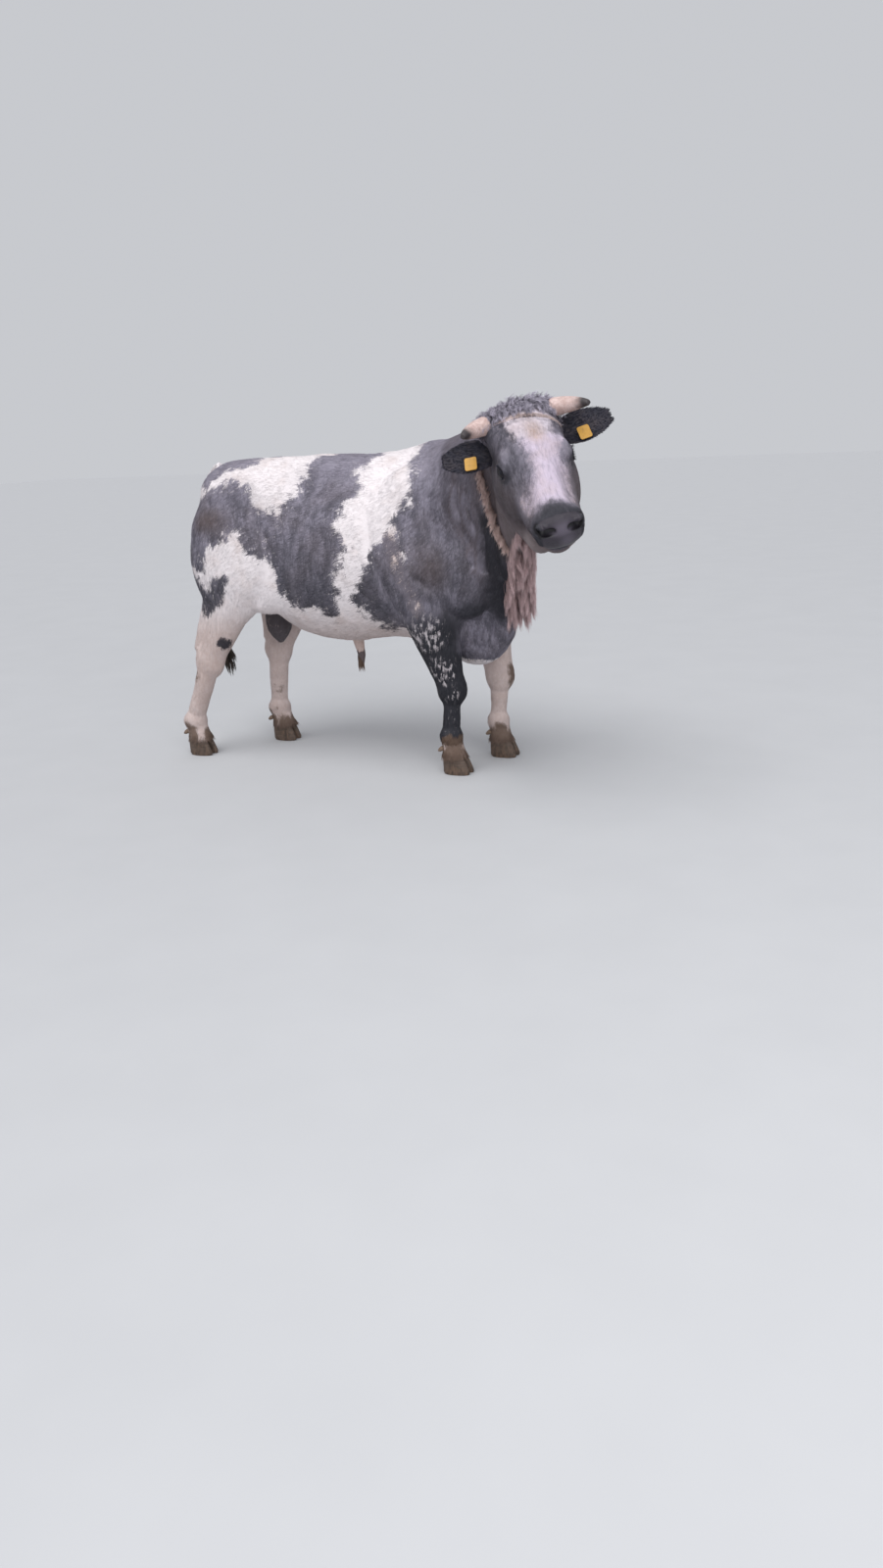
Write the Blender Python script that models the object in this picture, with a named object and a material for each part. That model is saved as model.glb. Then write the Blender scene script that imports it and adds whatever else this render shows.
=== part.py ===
"""A life-size Belgian Blue bull that stands and turns its head to its right, parted into named solids.

Metres, +Z up, the body along X with its head towards +X, and its left side towards +Y. The flesh is one
field of blended muscles and bones, made a mesh by Geometry Nodes and parted with thin cuts. Horns,
claws, eyes, ears, ear tags, tail and hair are solids of their own that meet it face to face.
"""

import math
import random

import bmesh
import bpy
from mathutils import Euler, Matrix, Vector
from mathutils.bvhtree import BVHTree

# Driving dimensions, in metres and degrees
GAP = 0.0003
MERGE = 0.00003
SIDES = {"right": -1, "left": 1}

WITHERS_HEIGHT = 1.42
BACK_HEIGHT = 1.39
BELLY_HEIGHT = 0.56
BRISKET_HEIGHT = 0.46
RIB_HALF_WIDTH = 0.335

HEAD_LENGTH = 0.59
HEAD_SIZE = HEAD_LENGTH / 0.55
POLL = Vector((0.985, -0.52, 1.57))
HEAD_TURN = -59
HEAD_DROP = 48
HEAD_ROLL = 12

KNEE_HEIGHT = 0.385
HOCK_HEIGHT = 0.47
FETLOCK_HEIGHT = 0.17
CORONET_HEIGHT = 0.08
FORE_FEET = {"right": Vector((0.505, -0.165, 0)), "left": Vector((0.60, 0.155, 0))}
HIND_FEET = {"right": Vector((-0.86, -0.22, 0)), "left": Vector((-0.60, 0.14, 0))}

EYE_RADIUS = 0.021
HORN_LENGTH = {"right": 0.145, "left": 0.165}
HORN_RADIUS = 0.037
EAR_LENGTH = {-1: 0.205, 1: 0.226}
EAR_AIM = {-1: (-0.20, -0.95, -0.14), 1: (-0.05, 0.98, 0.06)}
EAR_WIDTH = 0.142
TAG_WIDTH = 0.046
TAG_HEIGHT = 0.055
TAG_THICKNESS = 0.003

CLAW_LENGTH = 0.125
CLAW_WIDTH = 0.052
CLAW_CLEFT = 0.006
DEWCLAW_RADIUS = 0.013
DEWCLAW_LENGTH = 0.030

TAIL_RADIUS = 0.030
SCROTUM_LENGTH = 0.235
SHEATH_LENGTH = 0.125

# The locks of the long hair: their length, width and thickness
POLL_LOCK = (0.062, 0.040, 0.018)
DEWLAP_LOCK = (0.118, 0.056, 0.018)
SWITCH_LOCK = (0.15, 0.030, 0.012)
LOCK_RINGS = 5
DEWLAP_STATIONS = 7
SEED = 15

# The side of a cube of the field, and the triangles kept of each surface made from it
VOXELS = {"torso": 0.016, "neck": 0.016, "head": 0.0055, "leg": 0.010}
TRIANGLES = {"torso": 2350, "neck": 1700, "head": 2800, "leg": 740}

# The cuts that part the flesh: a point in the plane and its normal, towards the head or down the leg
HEAD_CUT = ((-0.05, 0, -0.10), (0.74, 0, 0.67))
NECK_CUT = (Vector((0.68, -0.14, 1.15)), Vector((0.86, -0.42, 0.28)))
FORE_CUT = {"x": (0.15, 0.90), "inner": (0.02, 0.455), "outer": (0.50, 0.73)}
HIND_CUT = {"x": (-1.20, -0.30), "inner": (0.012, 0.585), "outer": (0.50, 0.77)}
REACH = 3.0

# How far a horn, an ear or the scrotum is let into the flesh that it grows from
SEAT_DEPTH = 0.012


def turned(degrees):
    """A rotation by three angles in degrees about X, Y and Z."""
    return Euler([math.radians(angle) for angle in degrees]).to_matrix().to_4x4()


def head_frame():
    """From the head's own axes to the body's: +X from poll to muzzle, +Y to its left, +Z out of the face."""
    facing = Matrix.Rotation(math.radians(HEAD_TURN), 4, "Z")
    sight = facing @ Vector((1, 0, 0))
    roll = Matrix.Rotation(math.radians(HEAD_ROLL), 4, sight)
    drop = Matrix.Rotation(math.radians(HEAD_DROP), 4, "Y")
    return Matrix.Translation(POLL) @ roll @ facing @ drop


HEAD = head_frame()


class Field:
    """A number or vector at every point of space. Arithmetic on it adds nodes to its tree."""

    def __init__(self, tree, socket):
        self.tree = tree
        self.socket = socket

    def node(self, kind, inputs, output=0, **settings):
        made = self.tree.nodes.new(kind)
        for name, value in settings.items():
            setattr(made, name, value)
        for slot, value in zip(made.inputs, inputs):
            if isinstance(value, Field):
                self.tree.links.new(value.socket, slot)
            elif value is not None:
                slot.default_value = value
        return Field(self.tree, made.outputs[output])

    def math(self, operation, *values):
        return self.node("ShaderNodeMath", (self, *values), operation=operation)

    def vector(self, operation, *values, output="Vector"):
        return self.node("ShaderNodeVectorMath", (self, *values), output, operation=operation)

    def __add__(self, other):
        return self.math("ADD", other)

    def __sub__(self, other):
        return self.math("SUBTRACT", other)

    def __mul__(self, other):
        return self.math("MULTIPLY", other)

    def __truediv__(self, other):
        return self.math("DIVIDE", other)

    def length(self):
        return self.vector("LENGTH", output="Value")

    def dot(self, other):
        return self.vector("DOT_PRODUCT", other, output="Value")

    def scaled(self, factor):
        made = self.vector("SCALE")
        scale = made.socket.node.inputs["Scale"]
        self.tree.links.new(factor.socket, scale)
        return made


def new_group(name, sockets):
    """A node group that gives a distance, its inputs as fields, and the position."""
    tree = bpy.data.node_groups.new(name, "GeometryNodeTree")
    for socket, kind in sockets:
        tree.interface.new_socket(socket, in_out="INPUT", socket_type=kind)
    tree.interface.new_socket("Distance", in_out="OUTPUT", socket_type="NodeSocketFloat")
    entry = tree.nodes.new("NodeGroupInput")
    place = Field(tree, tree.nodes.new("GeometryNodeInputPosition").outputs[0])
    return tree, [Field(tree, entry.outputs[socket]) for socket, _ in sockets], place


def close_group(tree, distance):
    tree.links.new(distance.socket, tree.nodes.new("NodeGroupOutput").inputs[0])
    return tree


def ellipsoid_group():
    """Near enough the distance to a turned ellipsoid, below 0 inside it."""
    sockets = [("Centre", "NodeSocketVector"), ("Turn", "NodeSocketVector"), ("Radii", "NodeSocketVector")]
    tree, (centre, turn, radii), place = new_group("ellipsoid", sockets)
    away = place.vector("SUBTRACT", centre)
    rotate = tree.nodes.new("ShaderNodeVectorRotate")
    rotate.rotation_type = "EULER_XYZ"
    rotate.invert = True
    tree.links.new(away.socket, rotate.inputs["Vector"])
    tree.links.new(turn.socket, rotate.inputs["Rotation"])
    scaled = Field(tree, rotate.outputs[0]).vector("DIVIDE", radii)
    near = scaled.length()
    slope = scaled.vector("DIVIDE", radii).length()
    return close_group(tree, near * (near - 1.0) / slope)


def limb_group():
    """Near enough the distance to a tapered round bar, pressed flat along one axis."""
    kinds = [("Start", "Vector"), ("End", "Vector"), ("Across", "Vector")]
    kinds += [("Start Radius", "Float"), ("End Radius", "Float"), ("Flat", "Float")]
    sockets = [(name, "NodeSocket" + kind) for name, kind in kinds]
    tree, (start, end, across, start_radius, end_radius, flat), place = new_group("limb", sockets)
    away = place.vector("SUBTRACT", start)
    away = away.vector("ADD", across.scaled(away.dot(across) * flat))
    along = end.vector("SUBTRACT", start)
    share = limited_share(tree, away, along)
    radius = start_radius + (end_radius - start_radius) * share
    return close_group(tree, away.vector("SUBTRACT", along.scaled(share)).length() - radius)


def limited_share(tree, away, along):
    """How far along the bar the nearest point is, from 0 to 1."""
    share = away.dot(along) / along.dot(along)
    return share.node("ShaderNodeClamp", (share, 0.0, 1.0))


def blob(centre, radii, turn=(0, 0, 0), blend=0.06, frame=Matrix()):
    """One muscle or bone as a turned ellipsoid, blended with the flesh over that many metres."""
    place = frame @ Matrix.Translation(centre) @ turned(turn)
    return {
        "group": "ellipsoid",
        "blend": blend,
        "inputs": {
            "Centre": place.to_translation(),
            "Turn": place.to_euler(),
            "Radii": radii,
        },
    }


def limb(start, end, start_radius, end_radius, flat=1, across=(0, 1, 0), blend=0.06, frame=Matrix()):
    """A tapered bar, flat times thinner along across than the radii say."""
    return {
        "group": "limb",
        "blend": blend,
        "inputs": {
            "Start": frame @ Vector(start),
            "End": frame @ Vector(end),
            "Across": frame.to_3x3() @ Vector(across),
            "Start Radius": start_radius,
            "End Radius": end_radius,
            "Flat": flat - 1,
        },
    }


def carved(mass):
    """The same shape, taken away from the flesh."""
    return {**mass, "carve": True}


def trunk():
    """The barrel, withers, loin, rump and brisket, and the muscles of both sides."""
    masses = [
        blob((0.10, 0, 0.98), (0.56, RIB_HALF_WIDTH, 0.40), blend=0.1),
        blob((-0.10, 0, BELLY_HEIGHT + 0.30), (0.42, 0.32, 0.30), blend=0.1),
        blob((0.40, 0, 0.95), (0.34, 0.28, 0.40), blend=0.1),
        blob((0.38, 0, WITHERS_HEIGHT - 0.13), (0.36, 0.12, 0.13), (0, -4, 0), blend=0.12),
        blob((-0.46, 0, 1.13), (0.27, 0.25, 0.25), blend=0.1),
        blob((0.56, 0, BRISKET_HEIGHT + 0.18), (0.18, 0.13, 0.18), blend=0.12),
        blob((-0.65, 0, BACK_HEIGHT - 0.055), (0.10, 0.07, 0.05), (0, -10, 0), blend=0.08),
    ]
    for side in SIDES.values():
        masses += [
            blob((-0.20, side * 0.10, BACK_HEIGHT - 0.09), (0.46, 0.12, 0.10), blend=0.08),
            blob((-0.47, side * 0.15, BACK_HEIGHT - 0.165), (0.28, 0.14, 0.165), (0, 4, side * 4), 0.08),
            blob((-0.30, side * 0.17, 1.06), (0.22, 0.13, 0.22), blend=0.10),
            blob((-0.57, side * 0.20, 0.98), (0.22, 0.14, 0.32), (0, 6, 0), blend=0.07),
            blob((-0.69, side * 0.13, 0.98), (0.13, 0.11, 0.27), (0, 4, 0), blend=0.06),
            blob((-0.41, side * 0.215, 0.92), (0.16, 0.11, 0.22), (0, -10, 0), blend=0.08),
            blob((0.36, side * 0.20, 1.09), (0.17, 0.11, 0.26), (0, 14, side * -6), blend=0.12),
            blob((0.38, side * 0.235, 0.88), (0.19, 0.10, 0.19), (0, -10, 0), blend=0.09),
            blob((0.61, side * 0.185, 0.90), (0.15, 0.13, 0.20), blend=0.09),
        ]
    return masses


def neck():
    """The neck bends to the right, with its crest, throat and the fold of the dewlap under it."""
    return [
        limb((0.48, -0.02, 1.10), (0.88, -0.36, 1.30), 0.26, 0.20, 1.25, blend=0.1),
        limb((0.42, 0, 1.28), (0.93, -0.42, 1.42), 0.14, 0.10, blend=0.1),
        limb((0.64, -0.04, 0.86), (0.95, -0.45, 1.16), 0.17, 0.10, 1.2, blend=0.1),
        limb((0.98, -0.46, 1.14), (0.83, -0.17, 0.84), 0.06, 0.055, blend=0.06),
        limb((0.83, -0.17, 0.84), (0.70, -0.04, 0.64), 0.055, 0.06, blend=0.08),
    ]


def head_blob(centre, radii, turn=(0, 0, 0), blend=0.03):
    """A mass of the head, in its own axes, given for a head 0.55 long."""
    return blob(Vector(centre) * HEAD_SIZE, Vector(radii) * HEAD_SIZE, turn, blend, HEAD)


def head_limb(start, end, start_radius, end_radius, blend=0.03):
    ends = Vector(start) * HEAD_SIZE, Vector(end) * HEAD_SIZE
    return limb(*ends, start_radius * HEAD_SIZE, end_radius * HEAD_SIZE, blend=blend, frame=HEAD)


def skull():
    """The head's bones, muscles, muzzle and lids, with its nostrils, mouth and eye slits carved."""
    masses = [
        head_blob((0.10, 0, -0.090), (0.13, 0.128, 0.09)),
        head_blob((0.15, 0, -0.055), (0.15, 0.115, 0.055)),
        head_blob((0.015, 0, -0.084), (0.050, 0.142, 0.046)),
        head_limb((0.20, 0, -0.085), (0.44, 0, -0.085), 0.082, 0.064),
        head_blob((0.470, 0, -0.092), (0.062, 0.091, 0.068)),
        head_blob((0.505, 0, -0.108), (0.036, 0.078, 0.048)),
        head_blob((0.465, 0, -0.184), (0.055, 0.054, 0.038), blend=0.015),
    ]
    carves = []
    for side in SIDES.values():
        eye = eye_place(side)
        look = eye_look(side)
        masses += [
            head_limb((0.19, side * 0.075, -0.292), (0.42, side * 0.040, -0.222), 0.066, 0.050),
            head_limb((0.06, side * 0.085, -0.090), (0.27, side * 0.066, -0.085), 0.045, 0.040),
            head_blob((0.22, side * 0.086, -0.185), (0.15, 0.062, 0.12), blend=0.04),
            head_limb((0.25, side * 0.06, -0.125), (0.43, side * 0.042, -0.115), 0.065, 0.052),
            head_blob((0.215, side * 0.096, -0.060), (0.046, 0.032, 0.036), blend=0.04),
            head_blob((0.475, side * 0.048, -0.066), (0.036, 0.033, 0.030), blend=0.02),
            head_blob(eye, (0.028, 0.025, 0.025), blend=0.02),
        ]
        carves += [
            head_blob(eye + look * 0.028, (0.022, 0.016, 0.012), (side * -30, 0, 0), blend=0.003),
            head_limb((0.528, side * 0.034, -0.05), (0.508, side * 0.064, -0.07), 0.013, 0.008, 0.006),
            head_limb((0.54, 0, -0.142), (0.51, side * 0.045, -0.140), 0.006, 0.006, 0.006),
            head_limb((0.51, side * 0.045, -0.140), (0.43, side * 0.078, -0.137), 0.006, 0.004, 0.006),
        ]
    return masses + [carved(mass) for mass in carves]


def eye_place(side):
    return Vector((0.230, side * 0.112, -0.068))


def eye_look(side):
    return Vector((0.10, side * 0.88, 0.46)).normalized()


def fore_leg(foot, side):
    """From the upper arm to the coronet, above where the foot stands."""
    elbow = Vector((foot.x * 0.8 + 0.03, side * 0.20, 0.72))
    knee = Vector((foot.x, foot.y, KNEE_HEIGHT))
    fetlock = Vector((foot.x - 0.016, foot.y, FETLOCK_HEIGHT))
    coronet = Vector((foot.x, foot.y, CORONET_HEIGHT))
    return [
        limb(elbow, knee, 0.13, 0.060, 1.15, blend=0.05),
        blob(knee, (0.068, 0.062, 0.08), blend=0.04),
        limb(knee, fetlock, 0.043, 0.040, blend=0.03),
        blob(fetlock, (0.050, 0.054, 0.042), blend=0.03),
        limb(fetlock, coronet - Vector((0, 0, 0.03)), 0.045, 0.060, blend=0.03),
    ]


def hind_leg(foot, side):
    """From the gaskin to the coronet, with the point of the hock behind."""
    stifle = Vector((foot.x * 0.35 - 0.245, side * 0.205, 0.82))
    hock = Vector((foot.x * 0.6 - 0.235, foot.y, HOCK_HEIGHT))
    point = hock + Vector((-0.055, 0, 0.07))
    fetlock = Vector((foot.x - 0.02, foot.y, FETLOCK_HEIGHT))
    coronet = Vector((foot.x + 0.01, foot.y, CORONET_HEIGHT))
    ham = Vector((foot.x * 0.2 - 0.49, side * 0.17, 0.84))
    return [
        limb(stifle, hock, 0.115, 0.062, 1.15, blend=0.05),
        limb(ham, point, 0.085, 0.028, blend=0.05),
        blob(hock, (0.080, 0.052, 0.085), blend=0.04),
        limb(hock, fetlock, 0.052, 0.044, blend=0.03),
        blob(fetlock, (0.056, 0.056, 0.042), blend=0.03),
        limb(fetlock, coronet - Vector((0, 0, 0.03)), 0.048, 0.060, blend=0.03),
    ]


def bull_masses():
    masses = trunk() + neck() + skull()
    for name, side in SIDES.items():
        masses += fore_leg(FORE_FEET[name], side)
        masses += hind_leg(HIND_FEET[name], side)
    return masses


def blended_group(name, masses):
    """The distance to the whole form: every mass blended in, and every carved one taken away, in turn."""
    tree, _, _ = new_group(name, [])
    total = None
    for mass in masses:
        made = tree.nodes.new("GeometryNodeGroup")
        made.node_tree = bpy.data.node_groups[mass["group"]]
        for socket_name, value in mass["inputs"].items():
            made.inputs[socket_name].default_value = value
        distance = Field(tree, made.outputs[0])
        if total is None:
            total = distance
        elif mass.get("carve"):
            total = total.math("SMOOTH_MAX", distance * -1.0, mass["blend"])
        else:
            total = total.math("SMOOTH_MIN", distance, mass["blend"])
    return close_group(tree, total)


def flesh_group():
    ellipsoid_group()
    limb_group()
    blended_group("flesh", bull_masses())


def flesh_mesh(name, low, high, kind):
    return surface_mesh(name, "flesh", low, high, VOXELS[kind], TRIANGLES[kind])


def field_mesh(name, masses, low, high, voxel, triangles):
    blended_group(name + " form", masses)
    return surface_mesh(name, name + " form", low, high, voxel, triangles)


def surface_mesh(name, group, low, high, voxel, triangles):
    """The surface of a form inside a box, as a closed mesh of about that many triangles."""
    tree = bpy.data.node_groups.new(name + " surface", "GeometryNodeTree")
    tree.interface.new_socket("Geometry", in_out="OUTPUT", socket_type="NodeSocketGeometry")
    form = tree.nodes.new("GeometryNodeGroup")
    form.node_tree = bpy.data.node_groups[group]
    inside = Field(tree, form.outputs[0]) * -1.0
    cube = tree.nodes.new("GeometryNodeVolumeCube")
    tree.links.new(inside.socket, cube.inputs["Density"])
    cube.inputs["Background"].default_value = -1.0
    cube.inputs["Min"].default_value = low
    cube.inputs["Max"].default_value = high
    for axis, bottom, top in zip("XYZ", low, high):
        cube.inputs["Resolution " + axis].default_value = round((top - bottom) / voxel)
    surface = tree.nodes.new("GeometryNodeVolumeToMesh")
    surface.inputs["Threshold"].default_value = 0.0
    tree.links.new(cube.outputs[0], surface.inputs[0])
    tree.links.new(surface.outputs[0], tree.nodes.new("NodeGroupOutput").inputs[0])
    made = new_object(name, bpy.data.meshes.new(name))
    made.modifiers.new("surface", "NODES").node_group = tree
    settle(made)
    largest_shell(made)
    decimate = made.modifiers.new("fewer", "DECIMATE")
    decimate.ratio = min(1, triangles / len(made.data.polygons))
    settle(made)
    return made


def new_object(name, mesh):
    made = bpy.data.objects.new(name, mesh)
    bpy.context.scene.collection.objects.link(made)
    return made


def settle(made):
    """Applies every modifier, and gives the object the mesh that they make."""
    bpy.context.view_layer.update()
    graph = bpy.context.evaluated_depsgraph_get()
    mesh = bpy.data.meshes.new_from_object(made.evaluated_get(graph))
    mesh.name = made.name
    made.modifiers.clear()
    made.data = mesh


def largest_shell(made):
    """Keeps only the largest closed surface of the mesh."""
    mesh = bmesh.new()
    mesh.from_mesh(made.data)
    left = set(mesh.verts)
    shells = []
    while left:
        shell = set()
        edge = [left.pop()]
        while edge:
            vertex = edge.pop()
            shell.add(vertex)
            for link in vertex.link_edges:
                other = link.other_vert(vertex)
                if other in left:
                    left.discard(other)
                    edge.append(other)
        shells.append(shell)
    shells.sort(key=len)
    loose = [vertex for shell in shells[:-1] for vertex in shell]
    bmesh.ops.delete(mesh, geom=loose, context="VERTS")
    bmesh.ops.remove_doubles(mesh, verts=mesh.verts, dist=MERGE)
    bmesh.ops.dissolve_degenerate(mesh, edges=mesh.edges, dist=MERGE)
    bmesh.ops.triangulate(mesh, faces=mesh.faces)
    mesh.to_mesh(made.data)
    mesh.free()


def cut(made, cutter, operation="INTERSECT"):
    """One Boolean with a cutter, which is removed after it."""
    modifier = made.modifiers.new("cut", "BOOLEAN")
    modifier.operation = operation
    modifier.object = cutter
    settle(made)
    bpy.data.objects.remove(cutter)
    largest_shell(made)


def solid(name, corners, faces):
    """A closed object from its corners and faces, its faces turned outwards."""
    mesh = bmesh.new()
    points = [mesh.verts.new(corner) for corner in corners]
    for face in faces:
        mesh.faces.new([points[index] for index in face])
    bmesh.ops.recalc_face_normals(mesh, faces=mesh.faces)
    bmesh.ops.triangulate(mesh, faces=[face for face in mesh.faces if len(face.verts) > 4])
    data = bpy.data.meshes.new(name)
    mesh.to_mesh(data)
    mesh.free()
    return new_object(name, data)


def half_space(point, normal):
    """A huge cube with one face in the plane, on the side that the normal points to."""
    along = Vector(normal).normalized()
    turn = along.to_track_quat("Z", "Y").to_matrix()
    middle = Vector(point) + along * REACH
    corners = []
    for z in (-1, 1):
        for y in (-1, 1):
            for x in (-1, 1):
                corners.append(middle + turn @ Vector((x, y, z)) * REACH)
    return solid("half space", corners, box_faces())


def box_faces():
    return [(0, 1, 3, 2), (4, 5, 7, 6), (0, 1, 5, 4), (2, 3, 7, 6), (0, 2, 6, 4), (1, 3, 7, 5)]


def leg_wedge(cut_sizes, side, grow):
    """The space of one leg: under a plane that rises outwards from between the legs."""
    near, far = cut_sizes["x"]
    (inner, low), (outer, high) = cut_sizes["inner"], cut_sizes["outer"]
    corners = []
    for z in (0, 1):
        for y, top in ((inner - grow, low + grow), (outer + grow, high + grow)):
            for x in (near - grow, far + grow):
                corners.append(Vector((x, side * y, top if z else -0.5)))
    return solid("leg space", corners, box_faces())


def loft(name, rings):
    """A closed object through rings of points, with a flat cap at each end."""
    count = len(rings[0])
    corners = [point for ring in rings for point in ring]
    faces = [tuple(range(count)), tuple(range(len(corners) - count, len(corners)))]
    for step in range(len(rings) - 1):
        for index in range(count):
            after = (index + 1) % count
            base = step * count
            faces.append((base + index, base + after, base + count + after, base + count + index))
    return solid(name, corners, faces)


def smooth_path(points, count):
    """That many points along a smooth curve through the given ones."""
    points = [Vector(point) for point in points]
    ends = [points[0] * 2 - points[1]] + points + [points[-1] * 2 - points[-2]]
    path = []
    for step in range(count):
        place = step / (count - 1) * (len(points) - 1)
        index = min(int(place), len(points) - 2)
        share = place - index
        before, start, end, after = ends[index:index + 4]
        bend = (before * 2 - start * 5 + end * 4 - after) * share ** 2
        twist = (start * 3 - before - end * 3 + after) * share ** 3
        path.append((start * 2 + (end - before) * share + bend + twist) / 2)
    return path


def tube(name, path, radii, sides, broad=1):
    """A tapered tube along a path, its sections that many times broader along the body's Y."""
    rings = []
    across = Vector((0, 1, 0))
    for index, point in enumerate(path):
        ahead = path[min(index + 1, len(path) - 1)] - path[max(index - 1, 0)]
        up = ahead.cross(across).normalized()
        across = up.cross(ahead).normalized()
        ring = []
        for side in range(sides):
            angle = math.tau * side / sides
            offset = across * math.cos(angle) * broad + up * math.sin(angle)
            ring.append(point + offset * radii[index])
        rings.append(ring)
    return loft(name, rings)


def surface_point(made, start, direction):
    """Where a line from inside the object leaves it."""
    tree = BVHTree.FromObject(made, bpy.context.evaluated_depsgraph_get())
    place = Vector(start)
    last = place
    heading = Vector(direction).normalized()
    while True:
        hit = tree.ray_cast(place, heading)[0]
        if hit is None:
            return last
        last = hit
        place = hit + heading * 0.0001


def socket(made, base, axis, radius, length=0.10):
    """Cuts a flat round seat into the object, for a piece that grows from it along the axis."""
    axis = Vector(axis).normalized()
    turn = axis.to_track_quat("Z", "Y").to_matrix()
    rings = []
    for along in (0, length):
        ring = []
        for step in range(12):
            angle = math.tau * (step + 0.5) / 12
            offset = Vector((math.cos(angle) * radius, math.sin(angle) * radius, along))
            ring.append(base + turn @ offset)
        rings.append(ring)
    cut(made, loft("seat", rings), "DIFFERENCE")


def grown(made):
    """A copy of the object, its surface moved out by the gap that touching pieces keep."""
    copy = new_object("grown " + made.name, made.data.copy())
    for vertex, source in zip(copy.data.vertices, made.data.vertices):
        vertex.co = source.co + source.normal * GAP * 2
    return copy


def fitted(made, *neighbours):
    """The object without what lies in its neighbours, clear of them by the gap."""
    for neighbour in neighbours:
        cut(made, grown(neighbour), "DIFFERENCE")
    return made


def torso():
    made = flesh_mesh("torso", (-1.0, -0.42, 0.36), (0.95, 0.42, 1.55), "torso")
    point, normal = NECK_CUT
    cut(made, half_space(point - normal.normalized() * GAP, -normal))
    for side in SIDES.values():
        cut(made, leg_wedge(FORE_CUT, side, GAP), "DIFFERENCE")
        cut(made, leg_wedge(HIND_CUT, side, GAP), "DIFFERENCE")
    return made


def neck_node():
    made = flesh_mesh("neck", (0.40, -0.75, 0.60), (1.25, 0.20, 1.65), "neck")
    point, normal = NECK_CUT
    cut(made, half_space(point, normal))
    point, normal = head_cut()
    cut(made, half_space(point - normal * GAP, -normal))
    return made


def head_cut():
    point, normal = HEAD_CUT
    return HEAD @ Vector(point), (HEAD.to_3x3() @ Vector(normal)).normalized()


def head_node():
    low, high = Vector((0.80, -0.98, 0.95)), Vector((1.40, -0.30, 1.68))
    made = flesh_mesh("head", low, high, "head")
    cut(made, half_space(*head_cut()))
    return made


def leg_nodes(kind, name, feet, sizes, joint_height):
    """The upper and lower part of one leg, parted at its knee or hock."""
    foot = feet[name]
    side = SIDES[name]
    near, far = (0.10, 0.80) if kind == "fore" else (-1.02, -0.25)
    low = (near, min(0, side * 0.40), 0.03)
    high = (far, max(0, side * 0.40), 0.80)
    whole = flesh_mesh(name + "_" + kind + "_leg", low, high, "leg")
    cut(whole, leg_wedge(sizes, side, 0))
    cut(whole, half_space((foot.x, foot.y, CORONET_HEIGHT), (0, 0, 1)))
    lower = new_object(name + "_" + kind + "_cannon", whole.data.copy())
    cut(whole, half_space((0, 0, joint_height), (0, 0, 1)))
    cut(lower, half_space((0, 0, joint_height - GAP), (0, 0, -1)))
    return whole, lower


def claw(name, foot, side):
    """One of a foot's two claws: flat below, sloped at the toe and nearly flat against its twin."""
    levels = [(0, 0.92, 0.0), (0.012, 1.0, -0.002), (0.045, 0.90, -0.008)]
    levels.append((CORONET_HEIGHT - GAP, 0.76, -0.014))
    rings = []
    for height, share, shift in levels:
        ring = []
        for step in range(10):
            angle = math.tau * (step + 0.5) / 10
            forward = math.cos(angle)
            outward = math.sin(angle)
            x = foot.x + 0.008 + shift + forward * (1 + 0.1 * forward) * CLAW_LENGTH / 2 * share
            reach = CLAW_WIDTH / 2 * (1 if outward > 0 else 0.75)
            middle = CLAW_CLEFT / 2 + CLAW_WIDTH * 0.375
            y = foot.y + side * (middle + outward * reach * (0.6 + 0.4 * share))
            ring.append(Vector((x, y, height)))
        rings.append(ring)
    return loft(name, rings)


def dewclaw(name, leg, foot, side):
    """A small blunt horn behind the fetlock."""
    axis = Vector((-0.80, side * 0.25, -0.50)).normalized()
    middle = Vector((foot.x - 0.005, foot.y + side * 0.022, FETLOCK_HEIGHT - 0.025))
    base = surface_point(leg, middle, axis) - axis * 0.006
    socket(leg, base, axis, DEWCLAW_RADIUS + 0.002)
    path = [base + axis * (GAP + DEWCLAW_LENGTH * share) for share in (0, 0.5, 0.85, 1)]
    radii = [DEWCLAW_RADIUS * share for share in (1, 0.9, 0.55, 0.2)]
    return tube(name, path, radii, 7)


def horn(name, head, side):
    """A short horn that leaves the poll sideways and bends forward to a blunt tip."""
    length = HORN_LENGTH[name.split("_")[0]]
    turn = HEAD.to_3x3()
    start = turn @ Vector((0.15, side * 0.97, 0.12)).normalized()
    end = turn @ Vector((0.72, side * 0.50, 0.60)).normalized()
    middle = HEAD @ (Vector((0.010, side * 0.05, -0.072)) * HEAD_SIZE)
    base = surface_point(head, middle, start) - start * SEAT_DEPTH
    socket(head, base, start, HORN_RADIUS + 0.002)
    path = [base + start * GAP]
    steps = 7
    for step in range(1, steps + 1):
        heading = start.lerp(end, step / steps)
        path.append(path[-1] + heading.normalized() * (length / steps))
    radii = [HORN_RADIUS * (1 - (step / steps) ** 1.7 * 0.72) for step in range(steps + 1)]
    return fitted(tube(name, path, radii, 10), head)


def ear_frame(head, side):
    """The ear's root on the head, and the ways along it, across it and out of its cup."""
    turn = HEAD.to_3x3()
    along = (turn @ Vector(EAR_AIM[side])).normalized()
    front = turn @ Vector((0.10, side * -0.10, 1)).normalized()
    across = along.cross(front).normalized()
    front = across.cross(along).normalized()
    middle = HEAD @ (Vector((0.085, side * 0.05, -0.135)) * HEAD_SIZE)
    base = surface_point(head, middle, along) - along * SEAT_DEPTH
    return base, along, across, front


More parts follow.
